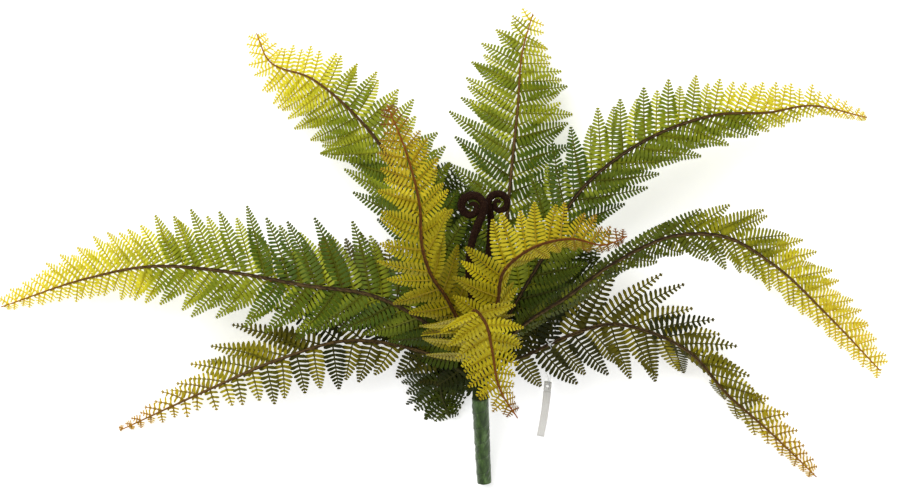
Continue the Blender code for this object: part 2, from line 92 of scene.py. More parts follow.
# Side: its pinnae's lengths in millimetres, and the degrees that they hang and lean to the tip,
# each at even steps from the crown to the tip. bend: how much they curve. lag: how much greener
# and darker they stay, painted shade on a side that hangs lower. Frond: slot is its ring and
# angle in the stem's bundle. bare: its stalk's length without pinnae. pitch: between two pinnae.
# ripe: the share of its length where yellow begins.
# left and right are seen from the crown. The faces are its upper side's way at both ends.
FRONDS = (
    Frond("left_long_frond", "green", (2, 150), 0.040, 0.0126, 0.64,
          Side((40, 56, 50, 25, 4), (14, 10), (36, 34), 0.10),
          Side((42, 60, 54, 38, 10), (8, 6), (18, 44), 0.10), UP, UP,
          ((0.004, -0.087, 0.052), (-0.024, -0.059, 0.075), (-0.065, -0.038, 0.090),
           (-0.123, -0.029, 0.094), (-0.186, -0.018, 0.086), (-0.252, -0.013, 0.068),
           (-0.315, -0.024, 0.036), (-0.393, -0.049, 0.005))),
    Frond("lower_left_frond", "olive", (2, 180), 0.030, 0.0180, 0.66,
          Side((26, 38, 40, 16, 2), (20, 8, 4, 4), (20, 10, 14, 30), 0.05),
          Side((45, 60, 54, 24, 2), (16, 10), (44, 50, 48, 46), 0.34), UP, UP,
          ((0.002, -0.099, 0.044), (-0.033, -0.084, 0.052), (-0.088, -0.077, 0.056),
           (-0.146, -0.093, 0.046), (-0.211, -0.121, 0.026), (-0.289, -0.157, 0.004))),
    Frond("upper_left_frond", "green", (1, 180), 0.080, 0.0120, 0.74,
          Side((48, 60, 60, 44, 9), (30, 34, 34, 16, 8), (50, 40, 24, 24, 40), 0.10),
          Side((46, 52, 46, 32, 7), (12, 8), (42, 8, 20), 0.08), UP, UP,
          ((0.015, -0.085, 0.046), (-0.009, -0.021, 0.058), (-0.039, 0.048, 0.074),
           (-0.056, 0.085, 0.076), (-0.084, 0.119, 0.072), (-0.119, 0.148, 0.056),
           (-0.157, 0.165, 0.036), (-0.168, 0.189, 0.026))),
    Frond("yellow_left_frond", "yellow", (2, 120), 0.080, 0.0120, 0.68,
          Side((32, 40, 39, 28, 6), (16, 10), (10, 34), 0.06),
          Side((30, 38, 37, 26, 6), (34, 20), (26, 38), 0.06), UP, UP,
          ((0.016, -0.084, 0.070), (-0.002, -0.041, 0.110), (-0.017, -0.017, 0.140),
           (-0.023, 0.004, 0.156), (-0.025, 0.038, 0.166), (-0.034, 0.075, 0.166),
           (-0.052, 0.121, 0.150))),
    Frond("top_frond", "green", (0, 0), 0.085, 0.0132, 0.95,
          Side((45, 54, 60, 50, 10), (12, 12), (44, 30, 22, 30), 0.10),
          Side((45, 54, 52, 42, 9), (12, 12), (40, 24, 4), 0.04), UP, UP,
          ((0.030, -0.081, 0.048), (0.040, -0.033, 0.056), (0.048, 0.022, 0.060),
           (0.053, 0.073, 0.060), (0.058, 0.121, 0.052), (0.063, 0.174, 0.036),
           (0.072, 0.206, 0.028))),
    Frond("upper_right_frond", "green", (1, 0), 0.075, 0.0124, 0.67,
          Side((54, 56, 44, 29, 4), (8, 8), (54, 46, 26, 22, 26), 0.05),
          Side((44, 64, 58, 24, 4), (16, 12), (44, 44, 56, 58, 60), 0.04, 0.16), UP, UP,
          ((0.034, -0.091, 0.044), (0.053, -0.051, 0.054), (0.083, 0.001, 0.068),
           (0.106, 0.045, 0.076), (0.159, 0.090, 0.082), (0.227, 0.116, 0.072),
           (0.275, 0.119, 0.058), (0.307, 0.125, 0.047), (0.362, 0.116, 0.026))),
    Frond("right_arch_frond", "deep_green", (2, 30), 0.050, 0.0142, 0.68,
          Side((26, 32, 50, 38, 13), (44, 48, 16, 8, 8), (74, 74, 60, 42, 36), 0.14),
          Side((28, 32, 34, 26, 9), (50, 50, 12, 10, 10), (50, 46, 44, 56, 50), 0.06), UP, UP,
          ((0.038, -0.090, 0.058), (0.065, -0.061, 0.082), (0.098, -0.039, 0.102),
           (0.138, -0.010, 0.112), (0.190, 0.013, 0.106), (0.232, 0.012, 0.092),
           (0.275, -0.011, 0.070), (0.325, -0.054, 0.036), (0.377, -0.105, 0.004))),
    Frond("lower_right_frond", "olive", (2, 0), 0.045, 0.0154, 0.70,
          Side((48, 60, 40, 27, 6), (12, 14), (34, 48, 58, 38, 18), 0.30),
          Side((34, 54, 44, 20, 5), (16, 16, 18, 26, 76, 78, 40, 30, 30), (4, 16, 40, 50, 40),
               0.08), UP, UP,
          ((0.036, -0.104, 0.042), (0.068, -0.089, 0.046), (0.102, -0.073, 0.050),
           (0.136, -0.063, 0.052), (0.173, -0.070, 0.052), (0.206, -0.087, 0.046),
           (0.239, -0.123, 0.034), (0.280, -0.159, 0.019), (0.321, -0.198, 0.004))),
    Frond("yellow_right_frond", "yellow", (2, 60), 0.080, 0.0116, 0.66,
          Side((38, 42, 40, 28, 7), (10, 10), (6, 30), 0.05),
          Side((28, 30, 28, 20, 6), (62, 50), (12, 30), 0.05), UP, UP,
          ((0.031, -0.086, 0.086), (0.040, -0.041, 0.130), (0.045, -0.016, 0.150),
           (0.067, 0.002, 0.158), (0.100, 0.010, 0.154), (0.128, 0.005, 0.144),
           (0.147, 0.012, 0.136))),
    Frond("yellow_front_frond", "yellow", (2, 90), 0.062, 0.0096, 0.85,
          Side((44, 40, 30, 20, 4), (-30, 30), (-10, 30), 0.12),
          Side((46, 44, 36, 28, 5), (-20, 24), (-14, 30), 0.12), (0.0, 1.0, -0.3), UP,
          ((0.022, -0.089, 0.090), (0.016, -0.059, 0.140), (0.021, -0.049, 0.166),
           (0.030, -0.061, 0.186), (0.034, -0.080, 0.196), (0.040, -0.111, 0.196),
           (0.055, -0.136, 0.184))),
    Frond("back_left_frond", "olive", (2, 240), 0.030, 0.0090, 1.30,
          Side((38, 44, 44, 34, 6), (4, 4), (26, 26), 0.10),
          Side((40, 48, 48, 36, 6), (4, 4), (26, 26), 0.10), UP, UP,
          ((0.008, -0.096, 0.029), (-0.022, -0.061, 0.027), (-0.056, -0.037, 0.020),
           (-0.092, -0.029, 0.012), (-0.131, -0.025, 0.006), (-0.165, -0.027, 0.0036))),
    Frond("small_low_frond", "shade", (2, 210), 0.006, 0.0056, 1.50,
          Side((23, 26, 26, 22, 6), (5, 5), (24, 30), 0.10),
          Side((46, 48, 44, 32, 8), (24, 20), (20, 30), 0.14), UP, UP,
          ((0.014, -0.106, 0.037), (0.002, -0.101, 0.036), (-0.007, -0.107, 0.030),
           (-0.008, -0.122, 0.020), (0.000, -0.146, 0.008))),
    Frond("back_top_frond", "shade", (2, 270), 0.030, 0.0080, 1.30,
          Side((40, 48, 48, 36, 8), (4, 4), (30, 24), 0.10),
          Side((40, 48, 48, 36, 8), (4, 4), (30, 24), 0.10), UP, UP,
          ((0.020, -0.086, 0.032), (0.009, -0.034, 0.026), (0.000, 0.010, 0.016),
           (-0.006, 0.045, 0.006), (-0.011, 0.075, 0.0036))),
    Frond("back_right_frond", "shade", (2, 300), 0.030, 0.0080, 1.30,
          Side((40, 48, 48, 36, 8), (4, 4), (30, 24), 0.10),
          Side((36, 44, 44, 34, 8), (4, 4), (30, 24), 0.10), UP, UP,
          ((0.036, -0.086, 0.034), (0.059, -0.050, 0.030), (0.084, -0.029, 0.020),
           (0.108, -0.015, 0.008), (0.130, -0.006, 0.0036))),
)

Fiddlehead = namedtuple("Fiddlehead", "name slot centre radius start turn points")

# centre, radius: its coil's. start: the degrees where the stalk meets the coil. turn: +1 winds
# anticlockwise from above.
FIDDLEHEADS = (
    Fiddlehead("left_fiddlehead", (1, 120), (0.0186, 0.0370, 0.120), 0.0098, -20.0, 1,
               ((0.024, -0.084, 0.070), (0.018, -0.041, 0.096), (0.0155, -0.014, 0.110),
                (0.0188, 0.009, 0.117), (0.0232, 0.0215, 0.120))),
    Fiddlehead("right_fiddlehead", (1, 60), (0.0406, 0.0400, 0.104), 0.0084, 200.0, -1,
               ((0.029, -0.085, 0.060), (0.030, -0.033, 0.086), (0.0315, -0.009, 0.096),
                (0.0338, 0.013, 0.102), (0.0345, 0.026, 0.104))),
)


def srgb(red, green, blue):
    """A display colour, 0 to 255, as the linear values that shaders take, and opaque."""
    linear = (
        value / 255 / 12.92 if value <= 10 else ((value / 255 + 0.055) / 1.055) ** 2.4
        for value in (red, green, blue)
    )
    return (*linear, 1.0)


# stops: a blade's colours from crown to tip, as where, its darker and its lighter pinnae.
# lobe_end, lobe_share: painted shade at the lobes' ends, a painted highlight on the yellow
# blades, and how much of it. ribs: the midribs of darker and lighter pinnae, rib_end: at the
# frond's tip. browning: of the pinnae's ends.
# fullness: how long and wide its lobes are.
Finish = namedtuple(
    "Finish", "slot stops lobe_end lobe_share ribs rib_end rib_share browning fullness"
)
RIPE_STOP = 0.66  # where yellow begins in these stops
FINISHES = {
    "green": Finish(
        "green_blade",
        ((0.00, (38, 48, 6), (56, 68, 8)), (0.25, (76, 94, 14), (152, 162, 40)),
         (0.48, (74, 96, 14), (180, 188, 42)), (0.64, (144, 156, 28), (222, 220, 60)),
         (0.78, (240, 230, 50), (252, 240, 66)), (1.00, (252, 232, 62), (255, 242, 84))),
        (46, 66, 8), 0.62, ((48, 44, 10), (140, 142, 18)), (248, 212, 44), 0.75, 0.12, 1.0,
    ),
    "deep_green": Finish(
        "green_blade",
        ((0.00, (42, 52, 10), (60, 70, 14)), (0.30, (62, 76, 14), (122, 128, 32)),
         (0.50, (84, 96, 16), (146, 146, 26)), (0.64, (160, 160, 28), (206, 196, 38)),
         (0.78, (240, 226, 46), (250, 234, 60)), (1.00, (250, 224, 56), (254, 234, 76))),
        (42, 54, 8), 0.55, ((50, 48, 14), (122, 120, 20)), (242, 200, 40), 0.7, 0.15, 1.0,
    ),
    "olive": Finish(
        "olive_blade",
        ((0.00, (28, 34, 2), (50, 54, 4)), (0.28, (36, 40, 4), (136, 126, 14)),
         (0.50, (52, 54, 6), (166, 152, 20)), (0.66, (112, 108, 16), (198, 184, 32)),
         (0.82, (216, 192, 34), (232, 206, 40)), (1.00, (220, 170, 40), (232, 186, 50))),
        (30, 34, 4), 0.75, ((50, 50, 10), (88, 84, 12)), (166, 108, 26), 0.75, 0.3, 1.12,
    ),
    "yellow": Finish(
        "yellow_blade",
        ((0.00, (88, 82, 2), (126, 116, 4)), (0.30, (134, 120, 4), (186, 170, 8)),
         (0.60, (158, 144, 10), (208, 192, 22)), (0.80, (190, 170, 22), (212, 190, 36)),
         (0.92, (160, 124, 24), (178, 140, 34)), (1.00, (118, 74, 22), (136, 90, 32))),
        # Here the lobes' ends are a painted highlight, paler than the blade.
        (218, 206, 70), 0.4, ((124, 104, 4), (160, 136, 8)), (132, 78, 22), 0.7, 0.1, 0.92,
    ),
    "shade": Finish(
        "dark_green_blade",
        ((0.00, (32, 40, 3), (46, 52, 4)), (0.40, (50, 62, 6), (76, 88, 10)),
         (0.70, (72, 88, 12), (112, 124, 20)), (1.00, (98, 112, 20), (146, 150, 30))),
        (32, 40, 4), 0.35, ((44, 48, 8), (84, 88, 12)), (96, 98, 16), 0.6, 0.3, 1.25,
    ),
}

# Stalk colours: dark, powdery and tip. A blade finish with none of its own has the brown ones.
STALKS = {
    "brown": ((40, 28, 14), (112, 90, 50), (190, 128, 34)),
    "yellow": ((74, 44, 12), (150, 100, 26), (164, 92, 28)),
    "shade": ((36, 34, 12), (70, 70, 26), (70, 74, 26)),
}

# How a surface breaks up. Its dye: the scales and strengths of soft patches and fine specks.
# Its grain: scale, roughness, and the strength and distance of its bump. Then its shine.
Surface = namedtuple("Surface", "patch_scale speck_scale patches specks grain_scale"
                     " grain_roughness bump distance roughness specular")
SURFACES = {
    "leaf": Surface(140.0, 1400.0, 0.16, 0.16, 1800.0, 0.6, 0.35, 0.0003, 0.36, 0.14),
    "stalk": Surface(220.0, 2600.0, 0.25, 0.50, 3200.0, 0.8, 0.80, 0.0004, 0.82, 0.20),
    "flock": Surface(180.0, 1800.0, 0.20, 0.40, 3000.0, 0.8, 1.00, 0.0006, 0.95, 0.10),
    "tape": Surface(160.0, 1500.0, 0.28, 0.30, 900.0, 0.7, 0.60, 0.0006, 0.34, 0.50),
    "bundle": Surface(300.0, 2500.0, 0.30, 0.40, 2000.0, 0.7, 0.60, 0.0004, 0.70, 0.50),
    "card": Surface(90.0, 2200.0, 0.03, 0.05, 2600.0, 0.7, 0.25, 0.0003, 0.62, 0.50),
    "nylon": Surface(300.0, 2200.0, 0.04, 0.04, 2200.0, 0.6, 0.10, 0.0002, 0.22, 0.50),
    "floor": Surface(3.0, 30.0, 0.005, 0.005, 40.0, 0.6, 0.02, 0.0010, 0.90, 0.50),
}


# ---------------------------------------------------------------- geometry helpers

def unit(vectors):
    """The same vectors, one metre long."""
    return vectors / np.linalg.norm(vectors, axis=-1, keepdims=True)


def even_route(points, count):
    """Evenly spread points on a smooth curve through the given ones, and their distances."""
    points = np.array(points)
    knots = np.append(0.0, np.cumsum(np.linalg.norm(np.diff(points, axis=0), axis=1)))
    slopes = np.gradient(points, knots, axis=0)
    fine = np.linspace(0.0, knots[-1], CURVE_STEPS)
    cell = np.clip(np.searchsorted(knots, fine, side="right") - 1, 0, len(knots) - 2)
    span = np.diff(knots)[cell, None]
    t = (fine - knots[cell])[:, None] / span
    curve = (
        (1 + 2 * t) * (1 - t) ** 2 * points[cell]
        + t * (1 - t) ** 2 * span * slopes[cell]
        + t**2 * (3 - 2 * t) * points[cell + 1]
        + t**2 * (t - 1) * span * slopes[cell + 1]
    )
    travelled = np.append(0.0, np.cumsum(np.linalg.norm(np.diff(curve, axis=0), axis=1)))
    stops = np.linspace(0.0, travelled[-1], count)
    even = np.stack([np.interp(stops, travelled, curve[:, axis]) for axis in range(3)], axis=1)
    return even, stops


def tag_directions():
    """The tag's way down and its way across, on the surface."""
    down = np.array((math.sin(TAG_HEADING), -math.cos(TAG_HEADING), 0.0))
    return down, np.array((-down[1], down[0], 0.0))


def frame_shift():
    """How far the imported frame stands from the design's own origin, found from the tag."""
    low, high = (np.array(corner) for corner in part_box("hang_tag"))
    middle = np.array((*TAG_TOP, 0.0)) + 0.5 * TAG_LENGTH * tag_directions()[0]
    shift = 0.5 * (low + high) - middle
    shift[2] = low[2]
    return shift


SHIFT = frame_shift()


def stem_axis():
    """The way from the stem's cut end to its top."""
    end_radius = TAPE_RADIUS * STEM_END_SHARE
    reach = math.hypot(STEM_LENGTH, end_radius)
    tilt = math.asin(STEM_TOP[2] / reach) - math.atan2(end_radius, STEM_LENGTH)
    return np.array((
        math.sin(STEM_HEADING) * math.cos(tilt),
        math.cos(STEM_HEADING) * math.cos(tilt),
        math.sin(tilt),
    ))


def slot_start(slot, along):
    """A point over a slot of the stem's bundle."""
    ring, angle = slot
    axis = stem_axis()
    right = unit(np.cross(axis, UP))
    front = np.cross(right, axis)
    turned = math.cos(math.radians(angle)) * right + math.sin(math.radians(angle)) * front
    return np.array(STEM_TOP) + along * axis + ring * SLOT_PITCH * turned


def stalk_route(slot, points):
    """A stalk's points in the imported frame."""
    route = [slot_start(slot, GAP), slot_start(slot, STALK_LEAD), *map(np.array, points)]
    return np.array(route) + SHIFT


def make_mesh(name, corners, quads, triangles, values=None):
    """A smooth mesh from number arrays, with one float attribute for each entry of values."""
    quads = np.asarray(quads, np.int32).reshape(-1, 4)
    triangles = np.asarray(triangles, np.int32).reshape(-1, 3)
    mesh = bpy.data.meshes.new(name)
    mesh.vertices.add(len(corners))
    mesh.vertices.foreach_set("co", np.asarray(corners, np.float32).ravel())
    mesh.loops.add(quads.size + triangles.size)
    mesh.loops.foreach_set("vertex_index", np.concatenate((quads.ravel(), triangles.ravel())))
    mesh.polygons.add(len(quads) + len(triangles))
    starts = np.concatenate((
        np.arange(len(quads)) * 4,
        quads.size + np.arange(len(triangles)) * 3,
    ))
    mesh.polygons.foreach_set("loop_start", starts.astype(np.int32))
    for key, numbers in (values or {}).items():
        layer = mesh.attributes.new(key, "FLOAT", "POINT")
        layer.data.foreach_set("value", np.asarray(numbers, np.float32))
    mesh.update(calc_edges=True)
    mesh.validate()
    mesh.shade_smooth()
    mesh.set_sharp_from_angle(angle=SHARP_ANGLE)
    return mesh


def add_piece(name, mesh, material, slot, *nodes):
    """Link one visual piece, which stands for these nodes and rides on the bush."""
    piece = bpy.data.objects.new(name, mesh)
    bpy.context.scene.collection.objects.link(piece)
    mesh.materials.append(material)
    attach(piece, "root")
    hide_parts(*nodes)
    return piece


def ring_frames(spine, hint):
    """Side and upper directions along a spine, turning as little as they can."""
    forward = unit(np.gradient(spine, axis=0))
    upper = np.empty_like(spine)
    current = np.array(hint, float)
    for index, way in enumerate(forward):
        current = current - np.dot(current, way) * way
        current = current / np.linalg.norm(current)
        upper[index] = current
    return np.cross(upper, forward), upper


def circle_angles(count):
    """Evenly spread angles round a full turn."""
    return math.tau * np.arange(count) / count


def ring_quads(rings, around):
    """Faces between rings of corners that follow each other, each of this many corners."""
    here = np.arange(around)
    after = (here + 1) % around
    starts = around * np.arange(rings - 1)[:, None]
    return np.stack((starts + here, starts + after, starts + after + around,
                     starts + here + around), axis=2).reshape(-1, 4)


def fan(centre, start, around):
    """Triangles from a middle corner to the ring of corners that begins at start."""
    here = np.arange(around)
    return np.stack((np.full(around, centre), start + here, start + (here + 1) % around), axis=1)


def tube_arrays(spine, side, upper, radii):
    """Corners and faces of a closed tube. radii: one row for each ring, one value a corner."""
    rings, sides = radii.shape
    angles = circle_angles(sides)
    ring = (
        np.cos(angles)[None, :, None] * side[:, None, :]
        + np.sin(angles)[None, :, None] * upper[:, None, :]
    )
    corners = (spine[:, None, :] + radii[:, :, None] * ring).reshape(-1, 3)
    corners = np.vstack((corners, spine[:1], spine[-1:]))
    end = sides * (rings - 1)
    triangles = np.vstack((
        fan(len(corners) - 2, 0, sides),
        fan(len(corners) - 1, end, sides)[:, (0, 2, 1)],
    ))
    return corners, ring_quads(rings, sides)[:, (0, 3, 2, 1)], triangles


# ---------------------------------------------------------------- one pinna

LOBE_ROWS = ((0.28, 0.84), (0.66, 1.00), (0.90, 0.66))  # how far out, how wide
LOBE_STEPS = (0.24, 0.52, 0.80)  # where a lobe starts, is widest and ends, in its own stretch
CROWDING = 0.25  # how much closer the lobes stand at a pinna's tip
FEWEST_LOBES = 4  # pairs on the shortest pinna
SHORTEST_PINNA = 0.0035
FULL_PINNA = 0.045  # a pinna of this length or more has full-grown lobes

Template = namedtuple("Template", "place side out across quads triangles")
Pinna = namedtuple("Pinna", "corners template ripeness tint")

# How far one pinna strays from its frond's rule. hang, sweep, roll: degrees. The rest: shares.
Stray = namedtuple("Stray", "hang sweep roll length bend sag tint")
STRAY = Stray(3.0, 3.5, 7.0, 0.05, 0.03, 0.03, 0.27)
SPACING_STRAY = 0.08
SPACING = (1.15, 0.60)  # of two pinnae: pitches at the crown, and how many fewer at the tip

# Every second pinna is an under one. It hangs lower, by degrees, starts deeper in the stalk,
# and is shorter and lighter, by shares.
UNDER_HANG = 6.0
UNDER_DEPTH = 0.0016
UNDER_SHORTER = 0.07
UNDER_TINT = 0.6

UPPER_TINT = 0.14
SAG = 0.08  # how far a pinna's tip drops, as a share of its length
ROOT_OUT = 0.0004  # from the stalk's middle to a midrib's root
ROOT_DEPTH = 0.0003
TIP_MARGIN = 0.0025  # no pinna starts this close to the frond's tip
CROWN_FULLNESS = 0.25  # how much fuller the lobes are at the crown


@functools.lru_cache(maxsize=None)
def pinna_template(pairs):
    """The closed shell of a pinna with that many pairs of lobes, in its own measures.

    place: along the midrib. side: 0 on the midrib, or the side of it. out: along a lobe.
    across: over a lobe's width. The upper corners come first, then the lower ones.
    """
    stations = [0.0]
    for pair in range(pairs):
        stations += [(pair + step) / pairs for step in LOBE_STEPS]
    stations.append(1.0)
    stations = [(1 + CROWDING) * station - CROWDING * station**2 for station in stations]
    spots = []
    quads = []
    triangles = []
    for place in stations:
        spots += [(place, 0, 0.0, 0.0), (place, 1, 0.0, 0.0), (place, -1, 0.0, 0.0)]
    for index in range(len(stations) - 1):
        rib, left, right = 3 * index, 3 * index + 1, 3 * index + 2
        quads.append((rib, rib + 3, left + 3, left))
        quads.append((rib, right, right + 3, rib + 3))
    for pair in range(pairs):
        middle = stations[3 * pair + 2]
        for side in (1, -1):
            column = 1 if side == 1 else 2
            row = [3 * (3 * pair + step) + column for step in (1, 2, 3)]
            for out, width in LOBE_ROWS:
                start = len(spots)
                spots += [(middle, side, out, width * across) for across in (-1, 0, 1)]
                new_row = [start, start + 1, start + 2]
                for step in (0, 1):
                    quad = (row[step], row[step + 1], new_row[step + 1], new_row[step])
                    quads.append(quad[::side])
                row = new_row
            tip = len(spots)
            spots.append((middle, side, 1.0, 0.0))
            triangles += [(row[step], row[step + 1], tip)[::side] for step in (0, 1)]
    count = len(spots)
    ways = [(face[step], face[(step + 1) % len(face)])
            for face in quads + triangles for step in range(len(face))]
    known = set(ways)
    rims = [(end, start, start + count, end + count)
            for start, end in ways if (end, start) not in known]
    under_quads = [tuple(corner + count for corner in face[::-1]) for face in quads]
    under_triangles = [tuple(corner + count for corner in face[::-1]) for face in triangles]
    place, side, out, across = np.array(spots, float).T
    return Template(place, side, out, across, np.array(quads + under_quads + rims),
                    np.array(triangles + under_triangles))


def pinna_corners(template, shape, root, way, forward, normal, length, bend, sag, fullness):
    """A template's corners in place. way: its midrib's. forward: the frond's. normal: its face."""
    place, side, out, across = (
        values[:, None] for values in (template.place, template.side, template.out,
                                       template.across)
    )
    middle = root + length * (place * way + bend * place**2 * forward - sag * place**2 * normal)
    tangent = unit(way + 2 * bend * place * forward - 2 * sag * place * normal)
    lateral = unit(np.cross(np.broadcast_to(normal, tangent.shape), tangent))
    upper = np.cross(tangent, lateral)
    # Lobes are longest near the root and dwindle to the tip, where they also lean over more.
    grown = min(1.0, length / FULL_PINNA) ** 0.5
    profile = np.minimum(1.0, 0.7 + 1.8 * place) * (1.0 - 0.92 * place**2.3)
    lobe = shape.lobe_length * math.sqrt(fullness) * grown * profile
    half = 0.5 * shape.lobe_width * fullness * min(1.0, grown * 1.1) * (1.0 - 0.5 * place**2)
    lean = np.radians(7.0 + 24.0 * place**2 + 5.0 * out)
    outward = np.sin(lean) * tangent + np.cos(lean) * side * lateral
    beside = np.cos(lean) * tangent - np.sin(lean) * side * lateral
    margin = shape.rib_width * (1.0 - 0.6 * place)
    on_lobe = (out > 0).astype(float)
    bow = 0.07 * lobe * out * (1 - out)
    corners = (
        middle + side * margin * lateral + out * lobe * outward + half * across * beside
        + bow * on_lobe * beside
    )
    # A lobe is crowned along its middle, droops at its end and thins out; a midrib stands up.
    on_rib = side == 0
    crown = on_lobe * (1 - np.abs(across)) * 0.00016 - 0.10 * lobe * out**2
    rib_rise = on_rib * shape.thickness * (2.0 - 1.2 * place)
    top = corners + (crown + rib_rise) * upper
    depth = shape.thickness * (1.0 + 1.4 * on_rib * (1 - 0.6 * place)) - 0.3 * on_lobe * (
        shape.thickness * out
    )
    return np.vstack((top, top - depth * upper))


def along_stops(share, values):
    """The value at a share of the way through evenly spread stops."""
    return float(np.interp(share, np.linspace(0.0, 1.0, len(values)), values))


def frond_frames(plan, spine):
    """Forward, left and face directions at each point of the spine."""
    forward = unit(np.gradient(spine, axis=0))
    share = np.linspace(0.0, 1.0, len(spine))[:, None]
    face = (1 - share) * np.array(plan.face_base) + share * np.array(plan.face_tip)
    face = unit(face - np.sum(face * forward, axis=1, keepdims=True) * forward)
    return forward, np.cross(face, forward), face


def pinna_ways(side, turned, share, under, axes, shape, stray):
    """A pinna's way off the stalk, the way of its midrib, and its face."""
    forward, left, face = axes
    hang = math.radians(along_stops(share, side.droops) + stray.hang + UNDER_HANG * under)
    out = turned * math.cos(hang) * left - math.sin(hang) * face
    lean = along_stops(share, side.sweeps) + stray.sweep
    sweep = math.radians(lean + shape.splay * (under - 0.5))
    way = math.cos(sweep) * out + math.sin(sweep) * forward
    normal = unit(math.cos(hang) * face + turned * math.sin(hang) * left)
    roll = math.radians(shape.shingle * turned + stray.roll)
    normal = unit(normal * math.cos(roll) + np.cross(way, normal) * math.sin(roll))
    return out, way, normal


def frond_blade(plan, shape, seed):
    """Every pinna of a frond as one mesh, lying no lower than the surface."""
    spine, stops = even_route(stalk_route(plan.slot, plan.points), CURVE_STEPS)
    forward, left, face = frond_frames(plan, spine)
    draws = np.random.default_rng(seed)
    fullness = FINISHES[plan.finish].fullness
    total = stops[-1]
    pinnae = []
    for turned, side in ((1, plan.left), (-1, plan.right)):
        along = plan.bare + 0.25 * (1 - turned) * plan.pitch
        under = int(turned < 0)
        while along < total - TIP_MARGIN:
            share = (along - plan.bare) / (total - plan.bare)
            index = min(CURVE_STEPS - 1, int(round(along / total * (CURVE_STEPS - 1))))
            jitter = shape.looseness * draws.normal(0.0, 1.0, len(STRAY))
            stray = Stray(*(np.array(STRAY) * jitter))
            axes = forward[index], left[index], face[index]
            out, way, normal = pinna_ways(side, turned, share, under, axes, shape, stray)
            length = MILLIMETRE * along_stops(share, side.lengths) * (1 + stray.length)
            length = max(length * (1.0 - UNDER_SHORTER * under), SHORTEST_PINNA)
            depth = ROOT_DEPTH + UNDER_DEPTH * under
            root = spine[index] + ROOT_OUT * out - depth * face[index]
            pairs = int(round(length / (shape.lobe_pitch * fullness)))
            template = pinna_template(max(FEWEST_LOBES, pairs))
            corners = pinna_corners(
                template, shape, root, way, forward[index], normal, length,
                side.bend + stray.bend, SAG + stray.sag,
                fullness * (1 + CROWN_FULLNESS - CROWN_FULLNESS * share),
            )
            # A frond whose ripe is 1 or more never gets as far as its finish's last colours.
            ripeness = float(np.interp(along / total, (0.0, plan.ripe, 1.0 + (plan.ripe >= 1)),
                                       (0.0, RIPE_STOP, 1.0)))
            # On a side with a lag the pinnae stay greener and darker midway: painted shade.
            ripeness -= side.lag * math.sin(math.pi * share)
            tint = np.clip(UPPER_TINT + UNDER_TINT * under + stray.tint, 0.0, 1.0)
            pinnae.append(Pinna(corners, template, ripeness, tint))
            pitch = plan.pitch * (SPACING[0] - SPACING[1] * share)
            along += pitch * (1 + SPACING_STRAY * jitter[0])
            under = 1 - under
    return join_pinnae(plan.name + "_blade", pinnae, shape)


def join_pinnae(name, pinnae, shape):
    """One mesh of all the pinnae, with what their colours need."""
    templates = [pinna.template for pinna in pinnae]
    sizes = [2 * len(template.place) for template in templates]
    starts = np.cumsum([0] + sizes[:-1])
    quads = [template.quads + start for template, start in zip(templates, starts)]
    triangles = [template.triangles + start for template, start in zip(templates, starts)]
    corners = np.vstack([pinna.corners for pinna in pinnae])
    on_top = np.concatenate([np.repeat((1.0, 0.0), size // 2) for size in sizes])
    corners[:, 2] = np.maximum(corners[:, 2], SURFACE_GAP + on_top * shape.thickness)
    return make_mesh(name, corners, np.vstack(quads), np.vstack(triangles), {
        "along": np.repeat([pinna.ripeness for pinna in pinnae], sizes),
        "reach": np.concatenate([np.tile(template.place, 2) for template in templates]),
        "lobe": np.concatenate([np.tile(template.out, 2) for template in templates]),
        "rib": np.concatenate([np.tile(template.out == 0, 2) for template in templates]),
        "tint": np.repeat([pinna.tint for pinna in pinnae], sizes),
    })


STALK_RINGS, STALK_SIDES = 240, 12
# Along a stalk: its thickness, as a share of the stalk radius.
STALK_TAPER = ((0.0, 0.6), (0.1, 0.85), (0.3, 1.0), (0.6, 0.86), (0.85, 0.55), (1.0, 0.3))


def frond_stalk(plan, shape, seed):
    """The wired stalk: thickest low down, grooved above, swollen where pinnae leave it."""
    rings, sides = STALK_RINGS, STALK_SIDES
    spine, stops = even_route(stalk_route(plan.slot, plan.points), rings)
    side, upper = ring_frames(spine, frond_frames(plan, spine)[2][0])
    share = stops / stops[-1]
    draws = np.random.default_rng(seed)
    taper = shape.stalk_radius * np.interp(share, *np.array(STALK_TAPER).T)
    knuckles = 1.0 + 0.14 * np.cos(math.pi * stops / plan.pitch) ** 16
    groove = 1.0 - 0.16 * np.maximum(0.0, np.sin(circle_angles(sides))) ** 8
    radii = (taper * knuckles)[:, None] * groove * (1 + 0.05 * draws.normal(size=(rings, sides)))
    corners, quads, triangles = tube_arrays(spine, side, upper, radii)
    corners[:, 2] = np.maximum(corners[:, 2], SURFACE_GAP)
    streak = np.clip(draws.random(sides) + 0.25 * draws.normal(size=(rings, sides)), 0.0, 1.0)
    return make_mesh(plan.name + "_stalk", corners, quads, triangles, {
        "along": np.append(np.repeat(share, sides), (0.0, 1.0)),
        "streak": np.append(streak, (0.5, 0.5)),
    })


# ---------------------------------------------------------------- materials

def feed(tree, socket, value):
    """Link a socket to another one, or give it a plain value."""
    if isinstance(value, bpy.types.NodeSocket):
        tree.links.new(value, socket)
    else:
        socket.default_value = value


def add_node(tree, kind, inputs=None, **settings):
    """A shader node with these settings. An input is a value or a socket to link."""
    node = tree.nodes.new(kind)
    for key, value in settings.items():
        setattr(node, key, value)
    for key, value in (inputs or {}).items():
        feed(tree, node.inputs[key], value)
    return node


def math_node(tree, operation, first, second, clamp=False):
    """One sum, with numbers or sockets."""
    return add_node(tree, "ShaderNodeMath", {0: first, 1: second}, operation=operation,
                    use_clamp=clamp).outputs[0]


def mix_colours(tree, share, first, second):
    """Two colours mixed by a share."""
    return add_node(tree, "ShaderNodeMix", {0: share, 6: first, 7: second},
                    data_type="RGBA").outputs[2]


